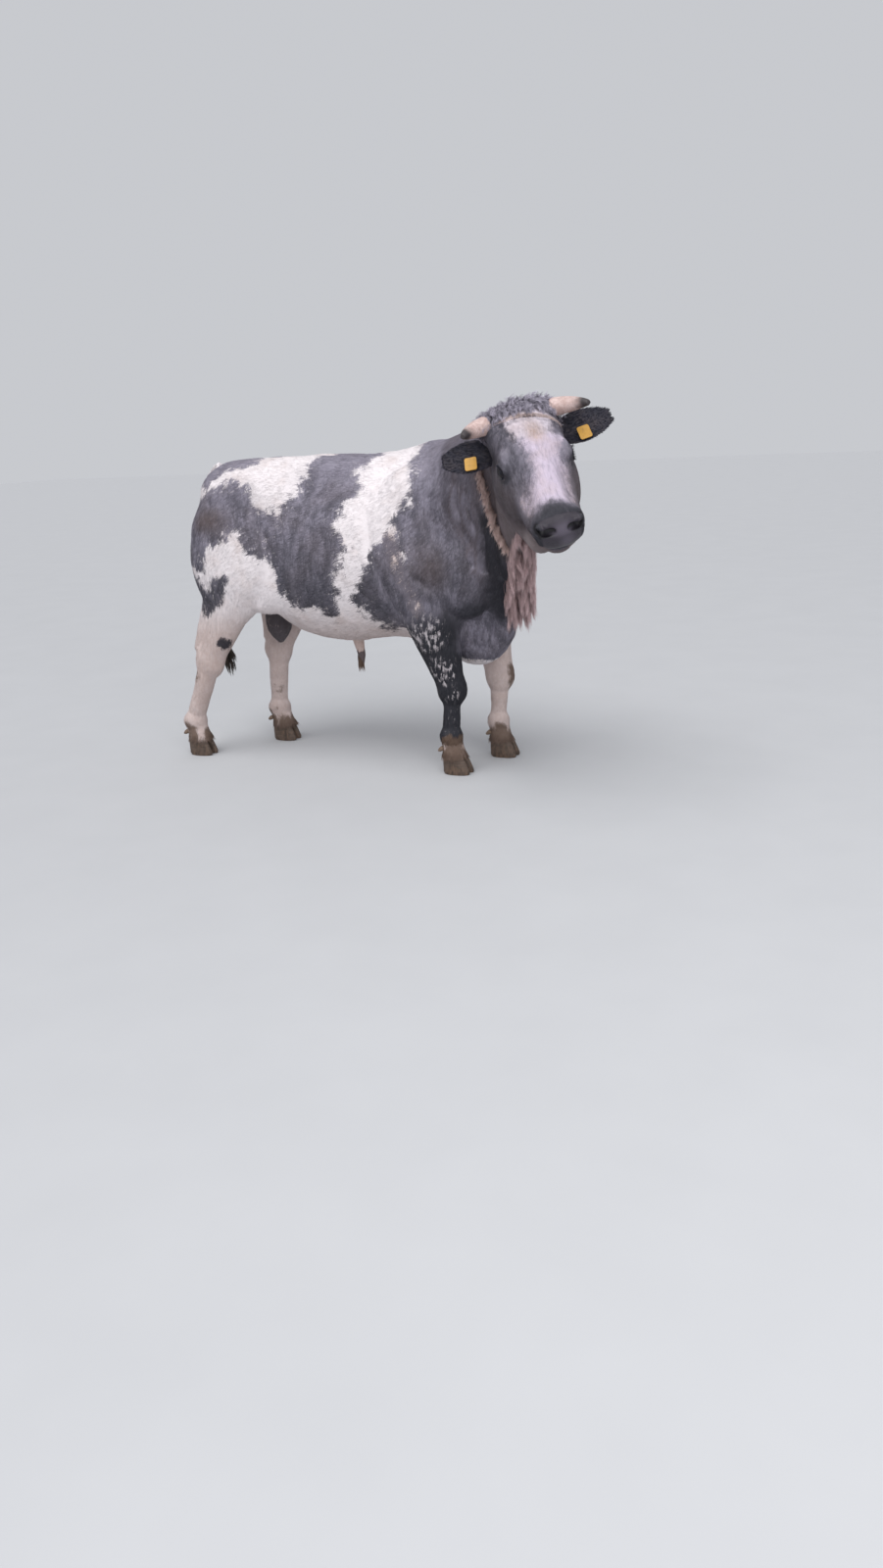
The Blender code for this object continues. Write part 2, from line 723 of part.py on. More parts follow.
def ear(name, head, neck_object, frame, length):
    """A broad leaf with a cupped front, solid at its root."""
    base, along, across, front = frame
    socket(head, base, along, 0.034, 0.06)
    rings = []
    steps = 8
    half = 5
    for step in range(steps + 1):
        share = step / steps
        width = EAR_WIDTH / 2 * math.sin(math.pi * (0.13 + 0.80 * share)) ** 0.7
        open_share = min(1, share / 0.25)
        depth = (0.030 * (1 - share) + 0.006) * open_share
        thick = 0.007 + 0.040 * (1 - open_share)
        point = base + along * (GAP + length * share)
        inner = []
        outer = []
        for index in range(half + 1):
            place = 2 * index / half - 1
            hollow = -depth * (1 - place ** 2)
            wall = thick * (1 - 0.6 * place ** 2)
            inner.append(point + across * place * width + front * hollow)
            outer.append(point + across * place * width + front * (hollow - wall))
        rings.append(inner + outer[::-1])
    return fitted(loft(name, rings), neck_object, head)


def eyeball(radius, side):
    """A round eye, turned so that its poles lie front and back."""
    mesh = bmesh.new()
    bmesh.ops.create_uvsphere(mesh, u_segments=14, v_segments=9, radius=radius)
    centre = HEAD @ (eye_place(side) * HEAD_SIZE)
    look = HEAD.to_3x3() @ eye_look(side)
    place = Matrix.Translation(centre) @ look.to_track_quat("Z", "Y").to_matrix().to_4x4()
    bmesh.ops.transform(mesh, matrix=place, verts=mesh.verts)
    data = bpy.data.meshes.new("eye")
    mesh.to_mesh(data)
    mesh.free()
    return new_object("eye", data)


def eye(name, head, side):
    cut(head, eyeball(EYE_RADIUS + GAP, side), "DIFFERENCE")
    made = eyeball(EYE_RADIUS, side)
    made.name = name
    return made


def ear_tag(name, ear_object, frame, side):
    """A bare plastic plate before the low half of the ear, on a short stud that meets its cup."""
    base, along, across, front = frame
    down = across * side
    pin = base + along * EAR_LENGTH[side] * 0.48 + down * 0.022
    foot = cup_point(ear_object, pin, front) + front * GAP
    rise = max(0.010, (pin - foot).dot(front) + 0.004)
    rings = [ring_around(foot, along, down, stud_outline())]
    rings.append(ring_around(foot + front * rise, along, down, stud_outline()))
    middle = foot + front * rise + down * 0.014
    rings.append(ring_around(middle, along, down, tag_outline()))
    rings.append(ring_around(middle + front * TAG_THICKNESS, along, down, tag_outline()))
    return fitted(loft(name, rings), ear_object)


def cup_point(ear_object, pin, front):
    """Where a line from before the ear meets the bottom of its cup."""
    tree = BVHTree.FromObject(ear_object, bpy.context.evaluated_depsgraph_get())
    return tree.ray_cast(pin + front * 0.05, -front)[0]


def ring_around(middle, along, down, outline):
    return [middle + along * x + down * y for x, y in outline]


def stud_outline():
    corners = [math.tau * (step + 0.5) / 8 - math.pi for step in range(8)]
    return [(0.006 * math.cos(angle), 0.006 * math.sin(angle)) for angle in corners]


def tag_outline():
    corners = [(-1, -0.8), (-0.8, -1), (0.8, -1), (1, -0.8), (1, 0.8), (0.8, 1), (-0.8, 1), (-1, 0.8)]
    return [(x * TAG_WIDTH / 2, y * TAG_HEIGHT / 2) for x, y in corners]


def tail_path():
    route = [(-0.725, 0, 1.355), (-0.785, 0, 1.305), (-0.825, 0, 1.20), (-0.850, 0, 1.02)]
    route += [(-0.850, -0.004, 0.80), (-0.825, -0.012, 0.62), (-0.812, -0.015, 0.55)]
    return smooth_path(route, 15)


def tail(torso_object):
    """The tail's dock and shaft, from the rump down behind the hams."""
    path = tail_path()
    axis = (path[1] - path[0]).normalized()
    socket(torso_object, path[0], axis, TAIL_RADIUS + 0.003, 0.16)
    path[0] = path[0] + axis * GAP
    radii = [TAIL_RADIUS * (1 - 0.55 * min(1, index / 10)) for index in range(len(path))]
    return tube("tail", path, radii, 8)


def tail_switch(shaft):
    """The long wet hair at the tail's end, in locks about a short core."""
    start = tail_path()[-1]
    before = tail_path()[-2]
    heading = (start - before).normalized()
    foot = start + Vector((0.022, -0.005, -0.15))
    path = smooth_path([start + heading * GAP, start + heading * 0.07, foot], 6)
    core = tube("tail_switch", path, [0.0135, 0.019, 0.021, 0.019, 0.014, 0.006], 8)
    chance = random.Random(SEED + 2)
    locks = []
    for index, count in ((1, 4), (3, 3), (5, 3)):
        for step in range(count):
            angle = math.tau * (step + index * 0.25) / count
            out = Vector((math.cos(angle), math.sin(angle), 0))
            way = Vector((0.08, 0, -1)) + out * 0.05
            size = [measure * chance.uniform(0.85, 1.15) for measure in SWITCH_LOCK]
            sway = chance.uniform(-0.02, 0.02)
            locks.append(lock(path[index] + out * 0.011, way, out, size, sway, 0.012, 0))
    return fitted(fused(core, locks), shaft)


def scrotum(torso_object):
    """It hangs from the belly between the thighs, wider at its foot."""
    top = Vector((-0.49, 0.005, 0.9))
    root = surface_point(torso_object, top, (0, 0, -1)) + Vector((0, 0, SEAT_DEPTH))
    socket(torso_object, root, (0, 0, -1), 0.044)
    path = []
    radii = []
    for step in range(8):
        share = step / 7
        path.append(root + Vector((0.006 * share, 0, -GAP - SCROTUM_LENGTH * share)))
        swell = math.sin(math.pi * min(1, share * 1.05))
        close = max(0, share - 0.8) * 5
        radii.append(0.040 + 0.026 * swell - 0.030 * close)
    return fitted(tube("scrotum", path, radii, 10), torso_object)


def sheath(torso_object):
    """The short sheath under the navel, tapering to the hair at its end."""
    top = Vector((-0.05, 0, 0.8))
    root = surface_point(torso_object, top, (0, 0, -1)) + Vector((0, 0, 0.008))
    socket(torso_object, root, (0, 0, -1), 0.032)
    shares = (0, 0.2, 0.45, 0.7, 1)
    path = [root + Vector((0.02 * share, 0, -GAP - SHEATH_LENGTH * share)) for share in shares]
    return fitted(tube("sheath", path, [0.029, 0.026, 0.021, 0.019, 0.007], 8), torso_object)


def lock(root, way, out, size, sway, lift, droop):
    """A flat lock that leaves its root along way, rises by lift, then sways, droops and tapers."""
    length, width, thick = size
    way = way.normalized()
    side = way.cross(out).normalized()
    out = side.cross(way).normalized()
    path = []
    for step in range(LOCK_RINGS):
        share = step / (LOCK_RINGS - 1)
        rise = lift * math.sin(math.pi * share) - thick * 0.5 * (1 - share) - droop * share ** 2
        path.append(root + way * length * share + out * rise + side * sway * share ** 2)
    rings = []
    for step, point in enumerate(path):
        share = step / (LOCK_RINGS - 1)
        ahead = path[min(step + 1, LOCK_RINGS - 1)] - path[max(step - 1, 0)]
        across = ahead.cross(out).normalized()
        up = across.cross(ahead).normalized()
        half = width / 2 * (0.75 + 0.6 * share - 1.2 * share ** 2)
        high = thick / 2 * (1 - 0.75 * share ** 2)
        rings.append([point + across * half, point + up * high, point - across * half, point - up * high])
    return loft("lock", rings)


def fused(core, locks):
    """The core and its locks as one closed surface."""
    group = bpy.data.collections.new("locks")
    bpy.context.scene.collection.children.link(group)
    for item in locks:
        bpy.context.scene.collection.objects.unlink(item)
        group.objects.link(item)
    modifier = core.modifiers.new("locks", "BOOLEAN")
    modifier.operation = "UNION"
    modifier.operand_type = "COLLECTION"
    modifier.collection = group
    settle(core)
    for item in locks:
        bpy.data.objects.remove(item)
    bpy.data.collections.remove(group)
    largest_shell(core)
    return core


def poll_hair(head, neighbours):
    """The mop of curls between the horns: rows of short locks over the poll, swept forwards and outwards."""
    masses = [
        head_blob((0.004, 0, -0.074), (0.040, 0.116, 0.042)),
        head_blob((0.028, 0, -0.044), (0.044, 0.075, 0.030)),
    ]
    low, high = Vector((0.80, -0.75, 1.35)), Vector((1.25, -0.30, 1.72))
    core = field_mesh("poll_hair", masses, low, high, 0.010, 360)
    chance = random.Random(SEED)
    turn = HEAD.to_3x3()
    locks = []
    for angle, sweep, columns in ((-105, -0.5, 4), (-68, 1, 5), (-30, 1, 6), (8, 1, 6)):
        lean = math.radians(angle)
        for column in range(columns):
            across = (column / (columns - 1) * 2 - 1) * 0.93
            shrink = math.sqrt(1 - 0.8 * across ** 2)
            place = Vector((0.008 + 0.046 * math.sin(lean) * shrink, across * 0.112,
                            -0.072 + 0.044 * math.cos(lean) * shrink))
            out = Vector((math.sin(lean), across * 0.8, math.cos(lean)))
            aside = across * 0.9 + chance.uniform(-0.45, 0.45)
            way = Vector((math.cos(lean), 0, -math.sin(lean))) * sweep + Vector((0, aside, 0))
            size = [measure * chance.uniform(0.85, 1.15) for measure in POLL_LOCK]
            sway = chance.uniform(-0.022, 0.022)
            root = HEAD @ (place * HEAD_SIZE)
            locks.append(lock(root, turn @ way, turn @ out, size, sway, 0.013, 0.024))
    return fitted(fused(core, locks), head, *neighbours)


def dewlap(neck_object, torso_object, head):
    """The long matted hair that hangs from the fold under the throat and neck."""
    masses = [
        limb((0.895, -0.29, 0.97), (0.845, -0.195, 0.82), 0.060, 0.046, blend=0.05),
        limb((0.98, -0.475, 1.11), (0.91, -0.33, 0.99), 0.030, 0.050, blend=0.05),
    ]
    low, high = Vector((0.70, -0.60, 0.65)), Vector((1.12, -0.05, 1.20))
    core = field_mesh("dewlap", masses, low, high, 0.012, 360)
    chance = random.Random(SEED + 1)
    stations = smooth_path([(0.98, -0.475, 1.12), (0.91, -0.33, 0.99), (0.85, -0.20, 0.84)],
                           DEWLAP_STATIONS)
    locks = []
    for index, point in enumerate(stations):
        fall = (stations[min(index + 1, DEWLAP_STATIONS - 1)] - stations[max(index - 1, 0)]).normalized()
        side = fall.cross(Vector((0, 0, -1))).normalized()
        front = side.cross(fall).normalized()
        front = front if front.x > 0 else -front
        thick = 0.026 + 0.030 * min(1, index / 3)
        for aside in (-1, 0, 1):
            out = (front * (1.1 - 0.5 * abs(aside)) + side * aside).normalized()
            way = fall * 0.45 + Vector((0, 0, -0.8)) + out * 0.08
            size = [measure * chance.uniform(0.85, 1.15) for measure in DEWLAP_LOCK]
            place = point + out * thick + fall * chance.uniform(-0.015, 0.015)
            locks.append(lock(place, way, out, size, chance.uniform(-0.02, 0.02), 0.012, 0.010))
    return fitted(fused(core, locks), neck_object, torso_object, head)


def paint(made, name, colour, roughness):
    """Gives the object one material, made once for each name."""
    material = bpy.data.materials.get(name)
    if material is None:
        material = bpy.data.materials.new(name)
        material.use_nodes = True
        shader = material.node_tree.nodes["Principled BSDF"]
        shader.inputs["Base Color"].default_value = (*colour, 1)
        shader.inputs["Roughness"].default_value = roughness
        shader.inputs["Metallic"].default_value = 0
    made.data.materials.clear()
    made.data.materials.append(material)


def stand_on_origin():
    """Moves the whole bull so that the middle of its box's foot is at the origin."""
    corners = []
    for made in bpy.context.scene.objects:
        corners += [vertex.co for vertex in made.data.vertices]
    shift = Vector()
    for axis in (0, 1):
        values = [corner[axis] for corner in corners]
        shift[axis] = -(min(values) + max(values)) / 2
    shift.z = -min(corner.z for corner in corners)
    for made in bpy.context.scene.objects:
        made.data.transform(Matrix.Translation(shift))
        made.data.shade_smooth()
        made.data.set_sharp_from_angle(angle=math.radians(50))


SKIN = {"white hide": ((0.62, 0.57, 0.53), 0.75), "blue roan hide": ((0.16, 0.15, 0.17), 0.75),
        "black hide": ((0.03, 0.028, 0.03), 0.7)}
HORN_COLOUR = (0.60, 0.48, 0.38)


def main():
    for old in list(bpy.data.objects):
        bpy.data.objects.remove(old)
    flesh_group()
    body = torso()
    neck_object = neck_node()
    head = head_node()
    made = {"white hide": [body], "blue roan hide": [neck_object, head], "black hide": [], "horn": [],
            "hoof": [], "eye": [], "tag": [], "hair": [], "bare skin": []}
    for kind, feet, sizes, joint in (("fore", FORE_FEET, FORE_CUT, KNEE_HEIGHT - 0.03),
                                     ("hind", HIND_FEET, HIND_CUT, HOCK_HEIGHT - 0.04)):
        for name, side in SIDES.items():
            upper, lower = leg_nodes(kind, name, feet, sizes, joint)
            black = kind == "fore" and name == "right"
            made["black hide" if black else "white hide"] += [upper, lower]
            for place, way in (("inner", -side), ("outer", side)):
                made["hoof"].append(dewclaw(f"{name}_{kind}_{place}_dewclaw", lower, feet[name], way))
                made["hoof"].append(claw(f"{name}_{kind}_{place}_claw", feet[name], way))
    for name, side in SIDES.items():
        made["horn"].append(horn(name + "_horn", head, side))
        made["eye"].append(eye(name + "_eye", head, side))
        frame = ear_frame(head, side)
        leaf = ear(name + "_ear", head, neck_object, frame, EAR_LENGTH[side])
        made["black hide"].append(leaf)
        made["tag"].append(ear_tag(name + "_ear_tag", leaf, frame, side))
    shaft = tail(body)
    made["white hide"].append(shaft)
    made["hair"].append(tail_switch(shaft))
    made["bare skin"] += [scrotum(body), sheath(body)]
    made["hair"].append(poll_hair(head, [neck_object] + made["horn"]))
    made["hair"].append(dewlap(neck_object, body, head))
    colours = dict(SKIN)
    colours["horn"] = (HORN_COLOUR, 0.45)
    colours["hoof"] = ((0.16, 0.11, 0.08), 0.6)
    colours["eye"] = ((0.02, 0.015, 0.012), 0.1)
    colours["tag"] = ((0.85, 0.45, 0.02), 0.4)
    colours["hair"] = ((0.30, 0.22, 0.20), 0.8)
    colours["bare skin"] = ((0.10, 0.06, 0.05), 0.6)
    for kind, objects in made.items():
        for item in objects:
            paint(item, kind, *colours[kind])
    stand_on_origin()


main()
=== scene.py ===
"""A life-size Belgian Blue bull, dressed over its frame of solids: one skin, its coat in tufts, long
hair in locks, and its horns, hooves, eyes, ears and ear tags. Metres, +Z up, the head towards +X."""
import functools
import itertools
import math

import bmesh
import bpy
import numpy as np
from mathutils import Euler, Matrix, Vector
from mathutils.bvhtree import BVHTree


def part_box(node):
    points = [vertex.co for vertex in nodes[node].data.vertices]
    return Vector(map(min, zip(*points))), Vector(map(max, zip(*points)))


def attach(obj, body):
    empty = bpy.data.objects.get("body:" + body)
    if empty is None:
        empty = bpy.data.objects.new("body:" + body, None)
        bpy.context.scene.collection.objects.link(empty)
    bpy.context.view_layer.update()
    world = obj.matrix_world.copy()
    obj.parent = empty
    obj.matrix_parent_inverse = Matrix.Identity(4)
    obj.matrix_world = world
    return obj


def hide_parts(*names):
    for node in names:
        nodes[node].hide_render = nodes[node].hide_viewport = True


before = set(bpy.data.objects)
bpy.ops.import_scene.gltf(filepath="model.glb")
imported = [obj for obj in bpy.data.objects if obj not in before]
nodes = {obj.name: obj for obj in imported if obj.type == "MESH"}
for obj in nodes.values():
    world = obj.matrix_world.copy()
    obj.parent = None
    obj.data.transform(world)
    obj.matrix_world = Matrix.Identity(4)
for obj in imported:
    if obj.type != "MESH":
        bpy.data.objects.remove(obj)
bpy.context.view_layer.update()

# The bull's own sizes, as its frame has them
STAND = Vector((-0.1762, 0.2209, 0))
SIDES = {"right": -1, "left": 1}
WITHERS_HEIGHT = 1.42
BACK_HEIGHT = 1.39
BELLY_HEIGHT = 0.56
BRISKET_HEIGHT = 0.46
RIB_HALF_WIDTH = 0.335
HEAD_SIZE = 0.59 / 0.55
POLL = Vector((0.985, -0.52, 1.57))
HEAD_TURN, HEAD_DROP, HEAD_ROLL = -59, 48, 12
KNEE_HEIGHT, HOCK_HEIGHT, FETLOCK_HEIGHT, CORONET_HEIGHT = 0.385, 0.47, 0.17, 0.08
FORE_FEET = {"right": Vector((0.505, -0.165, 0)), "left": Vector((0.6, 0.155, 0))}
HIND_FEET = {"right": Vector((-0.86, -0.22, 0)), "left": Vector((-0.6, 0.14, 0))}
EYE_RADIUS = 0.021
EAR_AIM = {-1: (-0.2, -0.95, -0.14), 1: (-0.05, 0.98, 0.06)}
EAR_LENGTH = {-1: 0.205, 1: 0.226}
CLAW_LENGTH, CLAW_WIDTH, CLAW_CLEFT = 0.125, 0.052, 0.006
TAIL_ROUTE = [(-0.725, 0, 1.355), (-0.785, 0, 1.305), (-0.825, 0, 1.2), (-0.85, 0, 1.02),
              (-0.85, -0.004, 0.8), (-0.825, -0.012, 0.62), (-0.812, -0.015, 0.55)]
FLESH = ["torso", "neck", "head", "tail", "scrotum", "sheath"] + [
    f"{side}_{end}_{part}" for side in SIDES for end in ("fore", "hind") for part in ("leg", "cannon")]
LEGS = ("foreleg", "hindleg")
HAIRY_ENDS = ("tail", "scrotum", "sheath")

SKIN_GRAIN = 0.0048
SKIN_FACES = 180000
# The solids are joined a little swollen; then each point steps towards the flesh, if that is near
SWOLLEN, LONGEST_STEP, NEAR_FLESH = 0.0008, 0.012, 0.03
HOOF_TOP = 0.084
BODY_DEPTH, LEG_RISE, HEAD_DEPTH = 0.006, 0.0025, 0.003
LID_HALF_LENGTH, LID_HALF_HEIGHT = 0.0265, 0.0185
FLOOR_SIZE = 80
# Under the skin, a hair's root; in the UV square, the patch that one hair takes up
ROOT_DEPTH, HAIR_PATCH = 0.0006, 0.003
COAT_SHARE = 1.0


def turned(degrees):
    return Euler([math.radians(angle) for angle in degrees]).to_matrix().to_4x4()


def head_axes():
    """From the head's own axes to the bull's: +X from poll to muzzle, +Y to its left, +Z out of the face."""
    facing = Matrix.Rotation(math.radians(HEAD_TURN), 4, "Z")
    roll = Matrix.Rotation(math.radians(HEAD_ROLL), 4, facing @ Vector((1, 0, 0)))
    return Matrix.Translation(POLL) @ roll @ facing @ Matrix.Rotation(math.radians(HEAD_DROP), 4, "Y")


HEAD = head_axes()
HEAD_TURNED = np.array(HEAD.to_3x3())
CHANCE = np.random.default_rng(7)


def on_bull(points):
    """From where things stand in the scene to the bull's own axes."""
    return points - np.array(STAND)


def on_head(points):
    """From the bull's axes to the head's, for a head 0.55 long."""
    return (points - np.array(POLL)) @ HEAD_TURNED / HEAD_SIZE


def placed_on_bull(points):
    return points + np.array(STAND)


def length_of(vectors):
    return np.sqrt((vectors * vectors).sum(-1))


def unit(vectors):
    return vectors / np.maximum(length_of(vectors), 1e-9)[..., None]


def ease(values, low, high):
    """From 0 at low to 1 at high, with soft ends."""
    share = np.clip((values - low) / (high - low), 0, 1)
    return share * share * (3 - 2 * share)


def fade(values, low, high):
    """From 1 at low to 0 at high, with soft ends."""
    return 1 - ease(values, low, high)


def bell(values, middle, width):
    """1 at the middle, falling off to both sides."""
    return np.exp(-((values - middle) / width) ** 2)


def above(values, *others):
    """The values, raised to each of the others where that is more."""
    return functools.reduce(np.maximum, others, values)


def flattened(ways, normals, share=1.0):
    """The ways with that share of what points out of the skin taken away."""
    return ways - (ways * normals).sum(1)[:, None] * normals * share


def rows_of(wide, scale, numbers):
    """Whole numbers, with that many to a metre, as rows of metres of that width."""
    return list(zip(*[iter([number / scale for number in numbers])] * wide))


def outline(*numbers):
    return rows_of(2, 100, numbers)


def cm(*numbers):
    return rows_of(3, 100, numbers)


def mm(*numbers):
    return rows_of(3, 1000, numbers)


def lumps(points, size, seed=0):
    """Smooth noise from -1 to 1, its lumps about that size."""
    place = points / size + seed * 17.31
    base = np.floor(place).astype(np.int64)
    part = place - base
    part = part * part * (3 - 2 * part)
    total = 0
    for corner in itertools.product((0, 1), repeat=3):
        cell = base + np.array(corner)
        code = (cell[:, 0] * 73856093) ^ (cell[:, 1] * 19349663) ^ (cell[:, 2] * 83492791) ^ (seed * 977)
        code = ((code ^ (code >> 13)) * 1274126177) & 0x7FFFFFFF
        weight = np.where(np.array(corner) == 1, part, 1 - part).prod(1)
        total = total + weight * ((code >> 7) % 4096 / 2047.5 - 1)
    return total


# Flesh: the same muscles and bones as the solids have, as a distance that is below 0 inside

def blob(centre, radii, turn=(0, 0, 0), blend=0.06, place=Matrix()):
    whole = place @ Matrix.Translation(centre) @ turned(turn)
    return {"centre": np.array(whole.to_translation()), "turn": np.array(whole.to_3x3()),
            "radii": np.array(radii), "blend": blend, "reach": max(radii)}


def limb(start, end, first, last, flat=1, across=(0, 1, 0), blend=0.06, place=Matrix()):
    start, end = np.array(place @ Vector(start)), np.array(place @ Vector(end))
    return {"start": start, "along": end - start, "first": first, "last": last, "flat": flat - 1,
            "across": np.array(place.to_3x3() @ Vector(across)), "blend": blend,
            "centre": (start + end) / 2, "reach": length_of(end - start) / 2 + max(first, last)}


def trunk():
    masses = [
        blob((0.1, 0, 0.98), (0.56, RIB_HALF_WIDTH, 0.4), blend=0.1),
        blob((-0.1, 0, BELLY_HEIGHT + 0.3), (0.42, 0.32, 0.3), blend=0.1),
        blob((0.4, 0, 0.95), (0.34, 0.28, 0.4), blend=0.1),
        blob((0.38, 0, WITHERS_HEIGHT - 0.13), (0.36, 0.12, 0.13), (0, -4, 0), blend=0.12),
        blob((-0.46, 0, 1.13), (0.27, 0.25, 0.25), blend=0.1),
        blob((0.56, 0, BRISKET_HEIGHT + 0.18), (0.18, 0.13, 0.18), blend=0.12),
        blob((-0.65, 0, BACK_HEIGHT - 0.055), (0.1, 0.07, 0.05), (0, -10, 0), blend=0.08),
    ]
    for side in SIDES.values():
        masses += [
            blob((-0.2, side * 0.1, BACK_HEIGHT - 0.09), (0.46, 0.12, 0.1), blend=0.08),
            blob((-0.47, side * 0.15, BACK_HEIGHT - 0.165), (0.28, 0.14, 0.165), (0, 4, side * 4), 0.08),
            blob((-0.3, side * 0.17, 1.06), (0.22, 0.13, 0.22), blend=0.1),
            blob((-0.57, side * 0.2, 0.98), (0.22, 0.14, 0.32), (0, 6, 0), blend=0.07),
            blob((-0.69, side * 0.13, 0.98), (0.13, 0.11, 0.27), (0, 4, 0), blend=0.06),
            blob((-0.41, side * 0.215, 0.92), (0.16, 0.11, 0.22), (0, -10, 0), blend=0.08),
            blob((0.36, side * 0.2, 1.09), (0.17, 0.11, 0.26), (0, 14, side * -6), blend=0.12),
            blob((0.38, side * 0.235, 0.88), (0.19, 0.1, 0.19), (0, -10, 0), blend=0.09),
            blob((0.61, side * 0.185, 0.9), (0.15, 0.13, 0.2), blend=0.09),
        ]
    return masses


def neck():
    return [
        limb((0.48, -0.02, 1.1), (0.88, -0.36, 1.3), 0.26, 0.2, 1.25, blend=0.1),
        limb((0.42, 0, 1.28), (0.93, -0.42, 1.42), 0.14, 0.1, blend=0.1),
        limb((0.64, -0.04, 0.86), (0.95, -0.45, 1.16), 0.17, 0.1, 1.2, blend=0.1),
        limb((0.98, -0.46, 1.14), (0.83, -0.17, 0.84), 0.06, 0.055, blend=0.06),
        limb((0.83, -0.17, 0.84), (0.7, -0.04, 0.64), 0.055, 0.06, blend=0.08),
    ]


def head_blob(centre, radii, turn=(0, 0, 0), blend=0.03):
    return blob(Vector(centre) * HEAD_SIZE, Vector(radii) * HEAD_SIZE, turn, blend, HEAD)


def head_limb(start, end, first, last, blend=0.03):
    ends = Vector(start) * HEAD_SIZE, Vector(end) * HEAD_SIZE
    return limb(*ends, first * HEAD_SIZE, last * HEAD_SIZE, blend=blend, place=HEAD)


def eye_place(side):
    return Vector((0.23, side * 0.112, -0.068))


def eye_look(side):
    return Vector((0.24, side * 0.86, 0.45)).normalized()


def skull():
    masses = [
        head_blob((0.1, 0, -0.09), (0.13, 0.128, 0.09)),
        head_blob((0.15, 0, -0.055), (0.15, 0.115, 0.055)),
        head_blob((0.015, 0, -0.084), (0.05, 0.142, 0.046)),
        head_limb((0.2, 0, -0.085), (0.44, 0, -0.085), 0.082, 0.064),
        head_blob((0.47, 0, -0.092), (0.062, 0.091, 0.068)),
        head_blob((0.505, 0, -0.108), (0.036, 0.078, 0.048)),
        head_blob((0.465, 0, -0.184), (0.055, 0.054, 0.038), blend=0.015),
    ]
    carves = []
    for side in SIDES.values():
        eye = eye_place(side)
        masses += [
            head_limb((0.19, side * 0.075, -0.292), (0.42, side * 0.04, -0.222), 0.066, 0.05),
            head_limb((0.06, side * 0.085, -0.09), (0.27, side * 0.066, -0.085), 0.045, 0.04),
            head_blob((0.22, side * 0.086, -0.185), (0.15, 0.062, 0.12), blend=0.04),
            head_limb((0.25, side * 0.06, -0.125), (0.43, side * 0.042, -0.115), 0.065, 0.052),
            head_blob((0.215, side * 0.096, -0.06), (0.046, 0.032, 0.036), blend=0.04),
            head_blob((0.475, side * 0.048, -0.066), (0.036, 0.033, 0.03), blend=0.02),
            head_blob(eye, (0.028, 0.025, 0.025), blend=0.02),
            head_limb((0.52, side * 0.05, -0.04), (0.492, side * 0.08, -0.045), 0.01, 0.008, 0.012),
            head_limb((0.515, side * 0.052, -0.098), (0.495, side * 0.078, -0.085), 0.011, 0.008, 0.012),
        ]
        carves += [
            head_limb((0.53, side * 0.033, -0.053), (0.508, side * 0.062, -0.072), 0.0145, 0.01, 0.005),
            head_limb((0.508, side * 0.062, -0.07), (0.49, side * 0.078, -0.056), 0.01, 0.005, 0.005),
            head_limb((0.54, 0, -0.142), (0.51, side * 0.045, -0.14), 0.006, 0.006, 0.006),
            head_limb((0.51, side * 0.045, -0.14), (0.43, side * 0.078, -0.137), 0.006, 0.004, 0.006),
        ]
    return masses + [{**mass, "carve": True} for mass in carves]


def lower_leg(joint, fetlock, coronet, cannon, ball, pastern):
    """From knee or hock to the hoof."""
    return [
        limb(joint, fetlock, *cannon, blend=0.03),
        blob(fetlock, (*ball, 0.042), blend=0.03),
        limb(fetlock, coronet - Vector((0, 0, 0.03)), pastern, 0.06, blend=0.03),
    ]


def fore_leg(foot, side):
    elbow = Vector((foot.x * 0.8 + 0.03, side * 0.2, 0.72))
    knee = Vector((foot.x, foot.y, KNEE_HEIGHT))
    fetlock = Vector((foot.x - 0.016, foot.y, FETLOCK_HEIGHT))
    coronet = Vector((foot.x, foot.y, CORONET_HEIGHT))
    return [
        limb(elbow, knee, 0.13, 0.06, 1.15, blend=0.05),
        blob(knee, (0.068, 0.062, 0.08), blend=0.04),
    ] + lower_leg(knee, fetlock, coronet, (0.043, 0.04), (0.05, 0.054), 0.045)


def hind_leg(foot, side):
    stifle = Vector((foot.x * 0.35 - 0.245, side * 0.205, 0.82))
    hock = Vector((foot.x * 0.6 - 0.235, foot.y, HOCK_HEIGHT))
    point = hock + Vector((-0.055, 0, 0.07))
    fetlock = Vector((foot.x - 0.02, foot.y, FETLOCK_HEIGHT))
    coronet = Vector((foot.x + 0.01, foot.y, CORONET_HEIGHT))
    ham = Vector((foot.x * 0.2 - 0.49, side * 0.17, 0.84))
    return [
        limb(stifle, hock, 0.115, 0.062, 1.15, blend=0.05),
        limb(ham, point, 0.085, 0.028, blend=0.05),
        blob(hock, (0.08, 0.052, 0.085), blend=0.04),
    ] + lower_leg(hock, fetlock, coronet, (0.052, 0.044), (0.056, 0.056), 0.048)


def flesh_masses():
    masses = trunk() + neck() + skull()
    for name, side in SIDES.items():
        masses += fore_leg(FORE_FEET[name], side) + hind_leg(HIND_FEET[name], side)
    return masses


def away_from(mass, points):
    if "radii" in mass:
        scaled = (points - mass["centre"]) @ mass["turn"] / mass["radii"]
        near = length_of(scaled)
        return near * (near - 1) / np.maximum(length_of(scaled / mass["radii"]), 1e-6)
    offset = points - mass["start"]
    offset = offset + (offset @ mass["across"] * mass["flat"])[:, None] * mass["across"]
    share = np.clip(offset @ mass["along"] / (mass["along"] @ mass["along"]), 0, 1)
    radius = mass["first"] + (mass["last"] - mass["first"]) * share
    return length_of(offset - share[:, None] * mass["along"]) - radius


def blended(first, second, blend):
    close = np.maximum(blend - np.abs(first - second), 0) / blend
    return np.minimum(first, second) - close ** 3 * blend / 6


